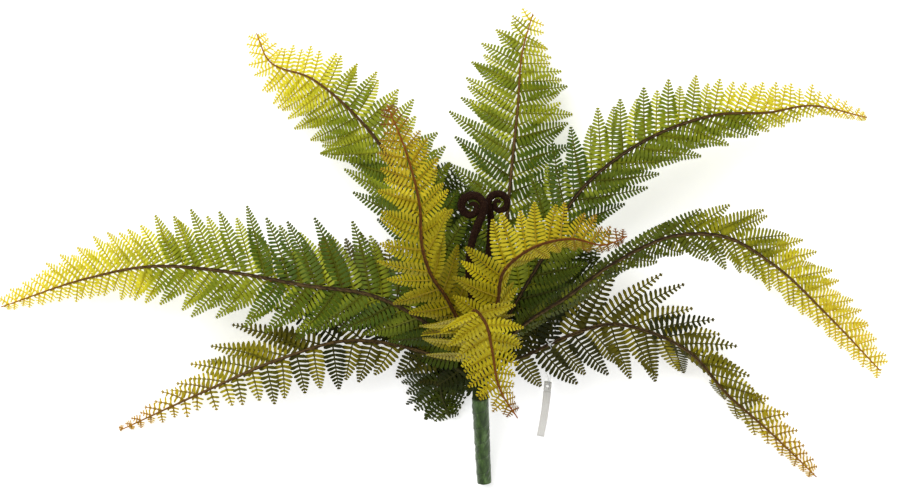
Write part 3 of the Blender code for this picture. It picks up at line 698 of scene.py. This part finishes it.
def colour_ramp(tree, value, stops):
    """A ramp over the value, with (place, linear colour) stops."""
    node = add_node(tree, "ShaderNodeValToRGB", {"Fac": value})
    ramp = node.color_ramp
    while len(ramp.elements) < len(stops):
        ramp.elements.new(0.5)
    for element, (place, colour) in zip(ramp.elements, stops):
        element.position = place
        element.color = colour
    return node.outputs["Color"]


def reading(tree, name):
    """A mesh attribute's value."""
    return add_node(tree, "ShaderNodeAttribute", attribute_name=name).outputs["Fac"]


def noise(tree, scale, detail, roughness=0.5, stretch=(1.0, 1.0, 1.0)):
    """Soft noise that stays with the object."""
    place = add_node(tree, "ShaderNodeTexCoord").outputs["Object"]
    stretched = add_node(tree, "ShaderNodeMapping", {"Vector": place, "Scale": stretch})
    return add_node(tree, "ShaderNodeTexNoise", {
        "Vector": stretched.outputs["Vector"], "Scale": scale, "Detail": detail,
        "Roughness": roughness,
    }).outputs["Fac"]


def new_group(name, inputs, outputs):
    """A shader node group, with its sockets: inputs by default value, outputs by kind."""
    group = bpy.data.node_groups.new(name, "ShaderNodeTree")
    for key, value in inputs.items():
        kind = "NodeSocketFloat" if isinstance(value, float) else "NodeSocketColor"
        socket = group.interface.new_socket(key, in_out="INPUT", socket_type=kind)
        socket.default_value = value
    for key, kind in outputs.items():
        group.interface.new_socket(key, in_out="OUTPUT", socket_type=kind)
    given, result = group.nodes.new("NodeGroupInput"), group.nodes.new("NodeGroupOutput")
    return group, given.outputs, result.inputs


@functools.lru_cache(maxsize=None)
def mottle_group():
    """Uneven dye: a colour made lighter and darker in soft patches and fine specks."""
    group, given, result = new_group(
        "uneven dye",
        {"Colour": (0.5, 0.5, 0.5, 1.0), "Patch scale": 60.0, "Speck scale": 900.0,
         "Patches": 0.25, "Specks": 0.2},
        {"Colour": "NodeSocketColor", "Mask": "NodeSocketFloat"},
    )
    patch = noise(group, given["Patch scale"], 3.0)
    speck = noise(group, given["Speck scale"], 2.0)
    swing = math_node(group, "MULTIPLY", math_node(group, "SUBTRACT", patch, 0.5),
                      given["Patches"])
    fine = math_node(group, "MULTIPLY", math_node(group, "SUBTRACT", speck, 0.5),
                     given["Specks"])
    change = math_node(group, "MULTIPLY", math_node(group, "ADD", swing, fine), 3.0)
    toned = add_node(group, "ShaderNodeHueSaturation", {
        "Color": given["Colour"], "Value": math_node(group, "ADD", change, 1.0)
    })
    group.links.new(toned.outputs["Color"], result["Colour"])
    group.links.new(patch, result["Mask"])
    return group


@functools.lru_cache(maxsize=None)
def grain_group():
    """Fine moulded or powdery grain as a height."""
    group, given, result = new_group(
        "surface grain", {"Scale": 1500.0, "Roughness": 0.6}, {"Height": "NodeSocketFloat"}
    )
    group.links.new(noise(group, given["Scale"], 4.0, given["Roughness"]), result["Height"])
    return group


def new_material(name):
    """An empty material: its tree and its shader."""
    material = bpy.data.materials.new(name)
    material.use_nodes = True
    tree = material.node_tree
    return material, tree, tree.nodes["Principled BSDF"]


def finish_surface(tree, shader, colour, surface):
    """Wire in the unevenly dyed colour, the grain's bump and the shine. Returns the dye."""
    dye = add_node(tree, "ShaderNodeGroup", {
        "Colour": colour, "Patch scale": surface.patch_scale,
        "Speck scale": surface.speck_scale, "Patches": surface.patches, "Specks": surface.specks,
    }, node_tree=mottle_group())
    grain = add_node(tree, "ShaderNodeGroup", {
        "Scale": surface.grain_scale, "Roughness": surface.grain_roughness
    }, node_tree=grain_group())
    bump = add_node(tree, "ShaderNodeBump", {
        "Height": grain.outputs["Height"], "Strength": surface.bump, "Distance": surface.distance
    })
    for key, value in (("Base Color", dye.outputs["Colour"]), ("Normal", bump.outputs["Normal"]),
                       ("Roughness", surface.roughness), ("Specular IOR Level", surface.specular)):
        feed(tree, shader.inputs[key], value)
    return dye


def blade_material(name, finish, colours):
    """Dyed leaf plastic: crown to tip colours, lighter and darker pinnae, browned ends, and painted
    shade at the lobes' ends, which on yellow blades is a painted highlight.
    """
    material, tree, shader = new_material(name)

    def times(first, second, clamp=False):
        return math_node(tree, "MULTIPLY", first, second, clamp)

    reach, tint = reading(tree, "reach"), reading(tree, "tint")
    drift = noise(tree, 28.0, 2.0)
    # How far towards the tip's colours: the dye wanders a little, and runs ahead at the edge.
    along = math_node(tree, "ADD", reading(tree, "along"),
                      times(math_node(tree, "SUBTRACT", drift, 0.5), 0.3), clamp=True)
    edge = times(math_node(tree, "POWER", reach, 2.0), 0.08)
    along = math_node(tree, "ADD", along, edge, clamp=True)
    dark, light = (
        colour_ramp(tree, along, [(stop[0], srgb(*stop[shade])) for stop in finish.stops])
        for shade in (1, 2)
    )
    colour = mix_colours(tree, tint, dark, light)
    # Painted shade at the lobes' ends (a painted highlight on yellow blades), strongest near the
    # crown.
    young = times(math_node(tree, "SUBTRACT", 1.25, along, clamp=True), finish.lobe_share)
    ends = times(math_node(tree, "POWER", reading(tree, "lobe"), 1.6), young)
    colour = mix_colours(tree, ends, colour, srgb(*finish.lobe_end))
    rib = times(math_node(tree, "POWER", reading(tree, "rib"), 3.0), finish.rib_share)
    dark_rib, light_rib, tip_rib = (srgb(*shade) for shade in (*finish.ribs, finish.rib_end))
    fresh = mix_colours(
        tree, along, mix_colours(tree, tint, dark_rib, light_rib),
        colour_ramp(tree, along, [(0.0, dark_rib), (0.6, light_rib), (1.0, tip_rib)]),
    )
    colour = mix_colours(tree, rib, colour, fresh)
    dried = times(math_node(tree, "SUBTRACT", reach, 0.86), 7.0, clamp=True)
    dried = times(times(dried, finish.browning), times(drift, 1.6))
    colour = mix_colours(tree, dried, colour, colours.dried)
    dye = finish_surface(tree, shader, colour, SURFACES["leaf"])
    gloss = math_node(tree, "ADD", times(dye.outputs["Mask"], 0.3), SURFACES["leaf"].roughness)
    tree.links.new(gloss, shader.inputs["Roughness"])
    return material


def stalk_material(name, tones, colours):
    """Powdery stalk with paler streaks, green at the stem, orange-brown towards the tip."""
    material, tree, shader = new_material(name)
    dark, powdery, tip = (srgb(*tone) for tone in tones)
    along = reading(tree, "along")
    streak = math_node(tree, "POWER", reading(tree, "streak"), 2.0)
    colour = mix_colours(tree, streak, dark, powdery)
    colour = mix_colours(tree, math_node(tree, "POWER", along, 7.0), colour, tip)
    bound = math_node(tree, "SUBTRACT", 1.6, math_node(tree, "MULTIPLY", along, 10.0), clamp=True)
    colour = mix_colours(tree, bound, colour, colours.bound)
    finish_surface(tree, shader, colour, SURFACES["stalk"])
    return material


def flock_material(name, colours):
    """Dark brown flock with fine pale specks."""
    material, tree, shader = new_material(name)
    specks = math_node(tree, "SUBTRACT", noise(tree, 2600.0, 1.0), 0.6)
    pale = math_node(tree, "MULTIPLY", specks, 5.0, clamp=True)
    colour = mix_colours(tree, pale, colours.flock, colours.flock_speck)
    colour = mix_colours(tree, reading(tree, "fibre"), colour, colours.flock_fibre)
    finish_surface(tree, shader, colour, SURFACES["flock"])
    return material


def tape_material(name, colours):
    """Stretched green floral tape: satin, with lengthwise streaks of painted shade and painted
    highlight, darker where it overlaps.
    """
    material, tree, shader = new_material(name)
    shade_and_highlight_streaks = noise(tree, 330.0, 3.0, stretch=(1.0, 0.08, 1.0))
    # Lengthwise streaks: painted shade in the creases and shaded parts, the tape's own green, and a
    # painted highlight.
    colour = colour_ramp(tree, shade_and_highlight_streaks, [
        (0.30, colours.tape_crease_shade), (0.47, colours.tape_shade), (0.60, colours.tape),
        (0.76, colours.tape_highlight),
    ])
    overlap = math_node(tree, "MULTIPLY", reading(tree, "overlap"), 0.6)
    colour = mix_colours(tree, overlap, colour, colours.tape_overlap)
    finish_surface(tree, shader, colour, SURFACES["tape"])
    return material


def core_material(name, colours):
    """The cut end of the bundle: green plastic with greyer wire ends."""
    material, tree, shader = new_material(name)
    place = add_node(tree, "ShaderNodeTexCoord").outputs["Object"]
    cells = add_node(tree, "ShaderNodeTexVoronoi", {"Vector": place, "Scale": 420.0})
    wires = math_node(tree, "SUBTRACT", 0.55, cells.outputs["Distance"], clamp=True)
    colour = mix_colours(tree, wires, colours.bundle, colours.bundle_wire)
    finish_surface(tree, shader, colour, SURFACES["bundle"])
    return material


def plain_material(name, colour, surface, alpha=1.0):
    """One colour with its surface, such as card or cloudy nylon."""
    material, tree, shader = new_material(name)
    finish_surface(tree, shader, colour, surface)
    shader.inputs["Alpha"].default_value = alpha
    return material


# ---------------------------------------------------------------- fiddleheads, stem, tag

FIDDLEHEAD_SIDES = 18
FIBRES = 4200
FIBRE_LENGTH = 0.0006
FIBRE_WIDTH = 0.00007
FIRST_FLOCKED_RING = 20
FLOCK_SEED = 401

COIL_TUBE_SHARE = 0.357  # the thickest tube's radius, as a share of its coil's
# Share of a turn wound: the coil's reach and its tube's radius, as shares.
COIL = ((0.0, 1.0, 1.0), (0.5, 0.96, 0.97), (0.75, 0.75, 0.88), (1.0, 0.39, 0.68),
        (1.25, 0.30, 0.55), (1.5, 0.17, 0.42))
COIL_STEPS = 24  # points to a turn


def fibres(points, normals, draws):
    """Short flock fibres: one thin closed spike on each point."""
    length, width = FIBRE_LENGTH, FIBRE_WIDTH
    count = len(points)
    lean = unit(normals + 0.55 * draws.normal(size=(count, 3)))
    across = unit(np.cross(lean, draws.normal(size=(count, 3))))
    third = np.cross(lean, across)
    sunk = points - 0.25 * length * normals
    corners = np.stack((
        sunk + width * across,
        sunk + width * (-0.5 * across + 0.87 * third),
        sunk + width * (-0.5 * across - 0.87 * third),
        points + length * (0.7 + 0.6 * draws.random((count, 1))) * lean,
    ), axis=1).reshape(-1, 3)
    base = 4 * np.arange(count)[:, None]
    triangles = np.concatenate([base + np.array(face) for face in
                                ((0, 2, 1), (0, 1, 3), (1, 2, 3), (2, 0, 3))])
    return corners, triangles


def fiddlehead_spine(plan):
    """The stalk and the coil as one even line, with the tube's radius along it."""
    stalk, _ = even_route(stalk_route(plan.slot, plan.points), 20)
    wound, reaches, swells = np.array(COIL).T
    turned = np.linspace(0.0, wound[-1], round(wound[-1] * COIL_STEPS) + 1)
    angles = math.radians(plan.start) + plan.turn * math.tau * turned
    reach = plan.radius * np.interp(turned, wound, reaches)
    coil = np.array(plan.centre) + SHIFT + np.stack(
        (reach * np.cos(angles), reach * np.sin(angles), np.zeros_like(angles)), axis=1
    )
    grow = np.linspace(0.0, 1.0, len(stalk)) ** 1.6
    thickest = COIL_TUBE_SHARE * plan.radius
    radii = np.append(STALK_RADIUS + (thickest - STALK_RADIUS) * grow,
                      thickest * np.interp(turned, wound, swells))
    points = np.vstack((stalk, coil))
    spine, stops = even_route(points, 260)
    marks = np.append(0.0, np.cumsum(np.linalg.norm(np.diff(points, axis=0), axis=1)))
    return spine, np.interp(stops / stops[-1], marks / marks[-1], radii)


def fiddlehead_mesh(plan, seed):
    """A rolled young frond: a thickening tube with a ridged outside, covered in flock."""
    spine, radii = fiddlehead_spine(plan)
    side, upper = ring_frames(spine, UP)
    draws = np.random.default_rng(seed)
    rings = radii[:, None] * (1 + 0.05 * draws.normal(size=(len(spine), FIDDLEHEAD_SIDES)))
    corners, quads, triangles = tube_arrays(spine, side, upper, rings)
    ring = draws.integers(FIRST_FLOCKED_RING, len(spine), FIBRES)
    angle = draws.random(FIBRES) * math.tau
    normals = np.cos(angle)[:, None] * side[ring] + np.sin(angle)[:, None] * upper[ring]
    points = spine[ring] + radii[ring, None] * normals
    hairs, hair_faces = fibres(points, normals, draws)
    marks = np.append(np.zeros(len(corners)), np.tile((0.3, 0.3, 0.3, 1.0), FIBRES))
    triangles = np.vstack((triangles, hair_faces + len(corners)))
    corners = np.vstack((corners, hairs))
    return make_mesh(plan.name, corners, quads, triangles, {"fibre": marks})


TAPE_TURNS = 5.5
TAPE_STEP = 0.00035  # how far a turn's edge stands over the next turn
TAPE_PROUD = 0.0001  # how far a crinkle may stand out over the tape's radius
CRINKLE = 0.00006
TAPE_SEED = 31


def stem_frame(around):
    """The stem's cut end, its axis, and the ways out all round it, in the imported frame."""
    axis = stem_axis()
    end = np.array(STEM_TOP) + SHIFT - STEM_LENGTH * axis
    right = unit(np.cross(axis, UP))
    angles = circle_angles(around)[:, None]
    return end, axis, np.cos(angles) * right + np.sin(angles) * np.cross(right, axis)


def tape_mesh():
    """The tape sleeve: a spiral of overlapping turns with stretched crinkles."""
    around, rows = 96, 200
    end, axis, ring = stem_frame(around)
    angles = circle_angles(around)
    share = np.linspace(0.0, 1.0, rows)
    swell = STEM_END_SHARE + (1 - STEM_END_SHARE) * share
    radius = (TAPE_RADIUS * swell)[:, None]
    phase = (TAPE_TURNS * share[:, None] + angles / math.tau) % 1.0
    step = TAPE_STEP * (1.0 - phase) ** 1.5
    starts = np.random.default_rng(TAPE_SEED).random((7, 4))[:, 0] * math.tau
    crinkle = sum(
        CRINKLE * np.sin((3 + k) * angles + start + (20 + 13 * k) * share[:, None])
        for k, start in enumerate(starts)
    )
    outer = np.minimum(radius - TAPE_STEP + step + crinkle, radius + TAPE_PROUD)
    inner = ((CORE_RADIUS + GAP) * swell)[:, None]
    middle = end + (GAP + (STEM_LENGTH - 2 * GAP) * share)[:, None, None] * axis
    shell = np.stack([middle + wall[:, :, None] * ring for wall in (outer, inner)])
    shell = shell.reshape(-1, 3)
    shell[:, 2] = np.maximum(shell[:, 2], 0.5 * SURFACE_GAP)
    size = around * rows
    outside = ring_quads(rows, around)
    here = np.arange(around)
    after = (here + 1) % around
    bottom = np.stack((here, here + size, after + size, after), axis=1)
    top = np.stack((here, after, after + size, here + size), axis=1) + around * (rows - 1)
    quads = np.vstack((outside, outside[:, ::-1] + size, bottom, top))
    overlap = np.append(np.clip(1.0 - phase.ravel() * 9, 0, 1), np.zeros(size))
    return make_mesh("stem_tape_wrap", shell, quads, [], {"overlap": overlap})


def core_mesh():
    """The bundle inside the tape, a little hollowed at the cut end."""
    around = 48
    end, axis, ring = stem_frame(around)
    low = CORE_RADIUS * STEM_END_SHARE
    profile = ((0.0012, 0.0), (0.0009, 0.35 * low), (0.0003, 0.75 * low), (0.0, 0.94 * low),
               (0.0004, low), (0.5 * STEM_LENGTH, 0.5 * (low + CORE_RADIUS)),
               (STEM_LENGTH - 0.0006, CORE_RADIUS), (STEM_LENGTH, 0.93 * CORE_RADIUS),
               (STEM_LENGTH, 0.5 * CORE_RADIUS), (STEM_LENGTH, 0.0))
    rings = [end + along * axis + radius * ring for along, radius in profile[1:-1]]
    corners = np.vstack((end + profile[0][0] * axis, *rings, end + profile[-1][0] * axis))
    last = len(corners) - 1
    triangles = np.vstack((fan(0, 1, around)[:, (0, 2, 1)], fan(last, last - around, around)))
    return make_mesh("stem_bundle", corners, 1 + ring_quads(len(rings), around), triangles)


def card_mesh():
    """The card: a punched hole at its top, curled ends, cupped edges and a slight bow."""
    down, across = tag_directions()
    top = np.array((*TAG_TOP, 0.0)) + SHIFT
    half = 0.5 * TAG_WIDTH
    around, rows = 32, 30
    angles = math.tau * (np.arange(around) + 0.5) / around
    circle = np.stack((np.cos(angles), np.sin(angles)), axis=1)
    reach = np.maximum(np.abs(circle[:, 0]) / TAG_HOLE_INSET, np.abs(circle[:, 1]) / half)
    square = np.clip(circle / reach[:, None], -(TAG_HOLE_INSET - 0.0003), TAG_HOLE_INSET)
    flat = [(TAG_HOLE_INSET + TAG_HOLE_RADIUS * x, TAG_HOLE_RADIUS * y) for x, y in circle]
    flat = np.array(flat + [(TAG_HOLE_INSET + x, y) for x, y in square])
    quads = [(k, (k + 1) % around, around + (k + 1) % around, around + k) for k in range(around)]
    # Below the hole, straight rows whose columns go on from the hole's own corners.
    edge = flat[around:][np.isclose(flat[around:, 0], 2 * TAG_HOLE_INSET)]
    columns = np.sort(np.append(edge[:, 1], (-half, half)))
    first, wide = len(flat), len(columns)
    body = [(2 * TAG_HOLE_INSET + (TAG_LENGTH - 2 * TAG_HOLE_INSET) * row / rows, beside)
            for row in range(rows + 1) for beside in columns]
    for row in range(rows):
        for column in range(wide - 1):
            start = first + row * wide + column
            quads.append((start, start + 1, start + wide + 1, start + wide))
    flat = np.vstack((flat, body))
    share = flat[:, 0] / TAG_LENGTH
    lift = 0.0016 * (1 - share) ** 2 + 0.0022 * (share - 0.35).clip(0.0) ** 2
    cup = 0.0006 * (flat[:, 1] / half) ** 2
    bow = 0.0009 * (1 - (2 * share - 1) ** 2)
    corners = (
        top + flat[:, :1] * down + (flat[:, 1:] + bow[:, None]) * across
        + (lift + cup)[:, None] * np.array(UP)
    )
    return make_mesh("blank_card", corners, quads, [])


LOOP_RADIUS = 0.00028
LOOP_SIDES = 8
LOOP_CLEARANCE = 0.0024  # from the stalk's middle to the loop round it
# The knot over the stalk and the loop's two cut ends: their ways, lengths and radii.
KNOT = (
    (UP, 0.0020, (0.0006, 0.0013, 0.0015, 0.0012, 0.0005)),
    ((0.62, 0.55, 0.56), 0.0060, (0.0004, 0.0004, 0.0004, 0.0004, 0.0003)),
    ((-0.55, 0.68, 0.48), 0.0050, (0.0004, 0.0004, 0.0004, 0.0004, 0.0003)),
)


def loop_mesh():
    """The nylon loop: through the card's hole, round its end, and over the stalk."""
    up = np.array(UP)
    down, across = tag_directions()
    low, high = (np.array(corner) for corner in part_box("tag_loop"))
    top = np.array((*TAG_TOP, 0.0)) + SHIFT
    plan = next(plan for plan in FRONDS if plan.name == "lower_right_frond")
    spine, _ = even_route(stalk_route(plan.slot, plan.points), CURVE_STEPS)
    at = int(np.argmin(np.abs(spine[:, 0] - 0.5 * (low[0] + high[0]) - 0.35 * (high[0] - low[0]))))
    hang = spine[at]
    over = unit(np.cross(unit(spine[at + 1] - hang), UP))
    clear = LOOP_CLEARANCE
    knot = hang + clear * up
    hole = top + TAG_HOLE_INSET * down + 0.0010 * up
    points = [
        knot, hang + clear * over - 0.0003 * up,
        0.62 * hang + 0.38 * hole + 0.0028 * over, 0.25 * hang + 0.75 * hole + 0.0022 * across,
        hole + 0.0004 * across + 0.0008 * up, hole - 0.0008 * down - 0.0006 * up,
        top - 0.0010 * down + 0.0014 * up, 0.25 * hang + 0.75 * top - 0.0024 * across,
        0.62 * hang + 0.38 * hole - 0.0028 * over, hang - clear * over - 0.0003 * up, knot,
    ]
    route, _ = even_route(points, 140)
    side, upper = ring_frames(route, over)
    tubes = [tube_arrays(route, side, upper, np.full((len(route), LOOP_SIDES), LOOP_RADIUS))]
    outset = unit(route[1] - route[0])
    for way, reach, radii in KNOT:
        way = unit(np.array(way))
        spine = knot + np.linspace(0.0, reach, len(radii))[:, None] * way
        aside = unit(np.cross(way, outset))
        ones = np.ones((len(radii), 1))
        tubes.append(tube_arrays(spine, ones * aside, ones * np.cross(way, aside),
                                 np.array(radii)[:, None] * np.ones(LOOP_SIDES)))
    starts = np.cumsum([0] + [len(corners) for corners, _, _ in tubes])
    return make_mesh("nylon_loop", np.vstack([corners for corners, _, _ in tubes]),
                     np.vstack([quads + start for (_, quads, _), start in zip(tubes, starts)]),
                     np.vstack([ends + start for (_, _, ends), start in zip(tubes, starts)]))


# ---------------------------------------------------------------- stage

# The two soft lights: where they stand and how wide they are.
KEY_LIGHT = ((-0.9, 1.1, 2.3), 2.2)
FILL_LIGHT = ((1.3, -0.9, 2.1), 2.4)
SENSOR_WIDTH = 36.0


def build_floor(stage):
    """A pale paper floor that gives off a little light itself."""
    bpy.ops.mesh.primitive_plane_add(size=stage.floor_size, location=(0.0, 0.0, -0.0003))
    floor = bpy.context.object
    floor.name = "studio_floor"
    material, tree, shader = new_material("studio_floor")
    paper = (*(stage.floor_tone,) * 3, 1.0)
    dye = finish_surface(tree, shader, paper, SURFACES["floor"])
    tree.links.new(dye.outputs["Colour"], shader.inputs["Emission Color"])
    shader.inputs["Emission Strength"].default_value = stage.floor_glow
    floor.data.materials.append(material)


def build_lights(stage):
    """Two soft lights and a pale surround."""
    scene = bpy.context.scene
    for name, (place, size), power in (
        ("key_light", KEY_LIGHT, stage.key_power), ("fill_light", FILL_LIGHT, stage.fill_power),
    ):
        light = bpy.data.lights.new(name, "AREA")
        light.shape = "DISK"
        light.size = size
        light.energy = power
        lamp = bpy.data.objects.new(name, light)
        lamp.location = place
        lamp.rotation_euler = (-Vector(place)).to_track_quat("-Z", "Y").to_euler()
        scene.collection.objects.link(lamp)
    world = bpy.data.worlds.new("pale_surround")
    world.use_nodes = True
    background = world.node_tree.nodes["Background"]
    background.inputs["Color"].default_value = (1.0, 1.0, 1.0, 1.0)
    background.inputs["Strength"].default_value = stage.surround
    scene.world = world


def build_camera(stage):
    """The camera, straight above the bush."""
    scene = bpy.context.scene
    camera = bpy.data.cameras.new("camera")
    camera.sensor_width = SENSOR_WIDTH
    camera.lens = SENSOR_WIDTH * stage.camera_distance / stage.view_width
    eye = bpy.data.objects.new("camera", camera)
    eye.location = (SHIFT[0], SHIFT[1], stage.aim_height + stage.camera_distance)
    scene.collection.objects.link(eye)
    scene.camera = eye


# ---------------------------------------------------------------- settings, operators, panel

def colour_property(name, description, *display):
    """A colour that a user can change. Its default is given as a display colour."""
    return FloatVectorProperty(name=name, description=description, default=srgb(*display),
                               size=4, min=0.0, max=1.0, subtype="COLOR")


class FernShape(bpy.types.PropertyGroup):
    """Sizes of the moulded leaves."""

    lobe_pitch: FloatProperty(
        name="Lobe spacing", description="Distance between two lobes along a midrib",
        default=0.0032, min=0.002, unit="LENGTH")
    lobe_length: FloatProperty(
        name="Lobe length", description="Longest lobe beside a midrib",
        default=0.0094, min=0.002, unit="LENGTH")
    lobe_width: FloatProperty(
        name="Lobe width", description="Widest part of a lobe",
        default=0.0026, min=0.0005, unit="LENGTH")
    rib_width: FloatProperty(
        name="Midrib half width", description="From a midrib's middle to its edge",
        default=0.00075, min=0.0001, unit="LENGTH")
    thickness: FloatProperty(
        name="Leaf thickness", description="Thickness of a lobe",
        default=0.0004, min=0.0001, unit="LENGTH")
    stalk_radius: FloatProperty(
        name="Stalk radius", description="Thickest part of a frond's stalk",
        default=0.0016, min=0.0005, unit="LENGTH")
    splay: FloatProperty(
        name="Splay", description="Degrees between the upper and the lower row of pinnae",
        default=7.0, min=0.0, max=30.0)
    shingle: FloatProperty(
        name="Shingle", description="Degrees that a pinna's edge rises over its neighbour's",
        default=10.0, min=-30.0, max=30.0)
    looseness: FloatProperty(
        name="Looseness", description="How unevenly the pinnae lie", default=1.0, min=0.0, max=2.0)
    seed: IntProperty(
        name="Seed", description="Start of the random draws", default=7, min=0)


class FernColours(bpy.types.PropertyGroup):
    """Colours that all the leaves and stalks share, and those of the other pieces."""

    dried: colour_property("Dried ends", "Browned ends of the pinnae", 74, 48, 22)
    bound: colour_property("Bound stalks", "Stalks where they leave the stem", 44, 54, 18)
    flock: colour_property("Flock", "Fiddleheads under their fibres", 38, 20, 14)
    flock_speck: colour_property("Flock specks", "Pale specks in the flock", 120, 92, 62)
    flock_fibre: colour_property("Flock fibres", "Ends of the flock's fibres", 66, 38, 26)
    # Painted shade in the tape's creases.
    tape_crease_shade: colour_property("Tape creases", "Deepest creases of the tape", 42, 60, 30)
    tape_shade: colour_property("Tape shade", "Shaded parts of the tape", 60, 84, 38)
    tape: colour_property("Tape", "The tape's own green", 74, 102, 48)
    # A painted highlight along the tape.
    tape_highlight: colour_property("Tape lights", "Stretched parts of the tape", 112, 140, 86)
    tape_overlap: colour_property("Tape overlaps", "Edges of the tape's turns", 30, 42, 18)
    bundle: colour_property("Bundle", "Plastic at the stem's cut end", 58, 74, 40)
    bundle_wire: colour_property("Wire ends", "Wires at the stem's cut end", 96, 92, 70)
    card: colour_property("Card", "The blank hang tag", 255, 253, 248)
    nylon: colour_property("Nylon", "The tag's loop", 236, 238, 236)


class FernStage(bpy.types.PropertyGroup):
    """Floor, lights and camera."""

    floor_size: FloatProperty(
        name="Floor size", description="Side of the floor", default=12.0, unit="LENGTH")
    floor_tone: FloatProperty(
        name="Floor tone", description="Grey value of the floor", default=0.94, min=0.0, max=1.0)
    floor_glow: FloatProperty(
        name="Floor glow", description="Light that the paper floor gives off itself",
        default=0.55, min=0.0)
    key_power: FloatProperty(
        name="Key light", description="Power of the main light, watts", default=50.0)
    fill_power: FloatProperty(
        name="Fill light", description="Power of the second light, watts", default=16.0)
    surround: FloatProperty(
        name="Surround", description="Strength of the pale surround", default=0.26)
    camera_distance: FloatProperty(
        name="Camera distance", description="From the camera to the crown's level",
        default=2.5, unit="LENGTH")
    view_width: FloatProperty(
        name="View width", description="Width that the camera sees at the crown's level",
        default=0.774, unit="LENGTH")
    aim_height: FloatProperty(
        name="Crown level", description="Height of the crown over the surface",
        default=0.05, unit="LENGTH")


class FERN_OT_stage(bpy.types.Operator):
    """Lay out the floor, the lights and the camera"""

    bl_idname = "fern.stage"
    bl_label = "Stage"

    def execute(self, context):
        stage = context.scene.fern_stage
        context.scene.view_settings.view_transform = "Standard"
        build_floor(stage)
        build_lights(stage)
        build_camera(stage)
        return {"FINISHED"}


BLADE_SEED_STEP = 11
STALK_SEED_STEP = 5


class FERN_OT_fronds(bpy.types.Operator):
    """Build every frond: its stalk and its moulded blade"""

    bl_idname = "fern.fronds"
    bl_label = "Fronds"

    def execute(self, context):
        shape, colours = context.scene.fern_shape, context.scene.fern_colours
        blades = {key: blade_material(key + "_leaf", finish, colours)
                  for key, finish in FINISHES.items()}
        stalks = {key: stalk_material(key + "_stalk", tones, colours)
                  for key, tones in STALKS.items()}
        for number, plan in enumerate(FRONDS):
            seed = shape.seed + BLADE_SEED_STEP * number
            blade = frond_blade(plan, shape, seed)
            slot = FINISHES[plan.finish].slot
            add_piece(plan.name + "_leaf", blade, blades[plan.finish], slot, plan.name + "_blade")
            stalk = frond_stalk(plan, shape, seed + STALK_SEED_STEP)
            powdery = stalks.get(plan.finish, stalks["brown"])
            add_piece(plan.name + "_wire", stalk, powdery, "frond_stalk", plan.name + "_stalk")
        return {"FINISHED"}


class FERN_OT_fiddleheads(bpy.types.Operator):
    """Build the two flocked fiddleheads"""

    bl_idname = "fern.fiddleheads"
    bl_label = "Fiddleheads"

    def execute(self, context):
        flock = flock_material("brown_flock", context.scene.fern_colours)
        for number, plan in enumerate(FIDDLEHEADS):
            mesh = fiddlehead_mesh(plan, FLOCK_SEED + number)
            add_piece(plan.name + "_flocked", mesh, flock, "fiddlehead_flock", plan.name)
        return {"FINISHED"}


class FERN_OT_stem(bpy.types.Operator):
    """Build the taped stem and the bundle inside it"""

    bl_idname = "fern.stem"
    bl_label = "Stem"

    def execute(self, context):
        colours = context.scene.fern_colours
        add_piece("stem_tape_wrap", tape_mesh(), tape_material("floral_tape", colours),
                  "stem_tape", "stem_tape")
        add_piece("stem_bundle", core_mesh(), core_material("cut_bundle", colours),
                  "stem_core", "stem_core")
        return {"FINISHED"}


class FERN_OT_hang_tag(bpy.types.Operator):
    """Build the blank hang tag and its nylon loop"""

    bl_idname = "fern.hang_tag"
    bl_label = "Hang tag"

    def execute(self, context):
        colours = context.scene.fern_colours
        white = plain_material("white_card", colours.card, SURFACES["card"])
        card = add_piece("blank_card", card_mesh(), white, "tag_card", "hang_tag")
        solid = card.modifiers.new("board", "SOLIDIFY")
        solid.thickness = TAG_THICKNESS
        solid.offset = 1.0
        clear = plain_material("clear_nylon", colours.nylon, SURFACES["nylon"], 0.8)
        add_piece("nylon_loop", loop_mesh(), clear, "nylon", "tag_loop")
        return {"FINISHED"}


class FERN_PT_panel(bpy.types.Panel):
    """Sizes, looks and a button for each group of pieces"""

    bl_idname = "FERN_PT_panel"
    bl_label = "Artificial fern bush"
    bl_space_type = "VIEW_3D"
    bl_region_type = "UI"
    bl_category = "Fern"

    def draw(self, context):
        scene = context.scene
        for settings in (scene.fern_shape, scene.fern_colours, scene.fern_stage):
            for name in settings.__annotations__:
                self.layout.prop(settings, name)
        for step in STEPS:
            self.layout.operator(step.bl_idname)


STEPS = (FERN_OT_stage, FERN_OT_stem, FERN_OT_fronds, FERN_OT_fiddleheads, FERN_OT_hang_tag)
CLASSES = (FernShape, FernColours, FernStage, *STEPS, FERN_PT_panel)


def register():
    """Add the settings, the operators and the panel to Blender."""
    for kind in CLASSES:
        bpy.utils.register_class(kind)
    bpy.types.Scene.fern_shape = PointerProperty(type=FernShape)
    bpy.types.Scene.fern_colours = PointerProperty(type=FernColours)
    bpy.types.Scene.fern_stage = PointerProperty(type=FernStage)


def unregister():
    """Take them out again."""
    del bpy.types.Scene.fern_stage
    del bpy.types.Scene.fern_colours
    del bpy.types.Scene.fern_shape
    for kind in reversed(CLASSES):
        bpy.utils.unregister_class(kind)


def main():
    """Build the whole bush and its stage."""
    register()
    bpy.ops.fern.stage()
    bpy.ops.fern.stem()
    bpy.ops.fern.fronds()
    bpy.ops.fern.fiddleheads()
    bpy.ops.fern.hang_tag()
    bpy.context.view_layer.update()


if __name__ == "__main__":
    main()
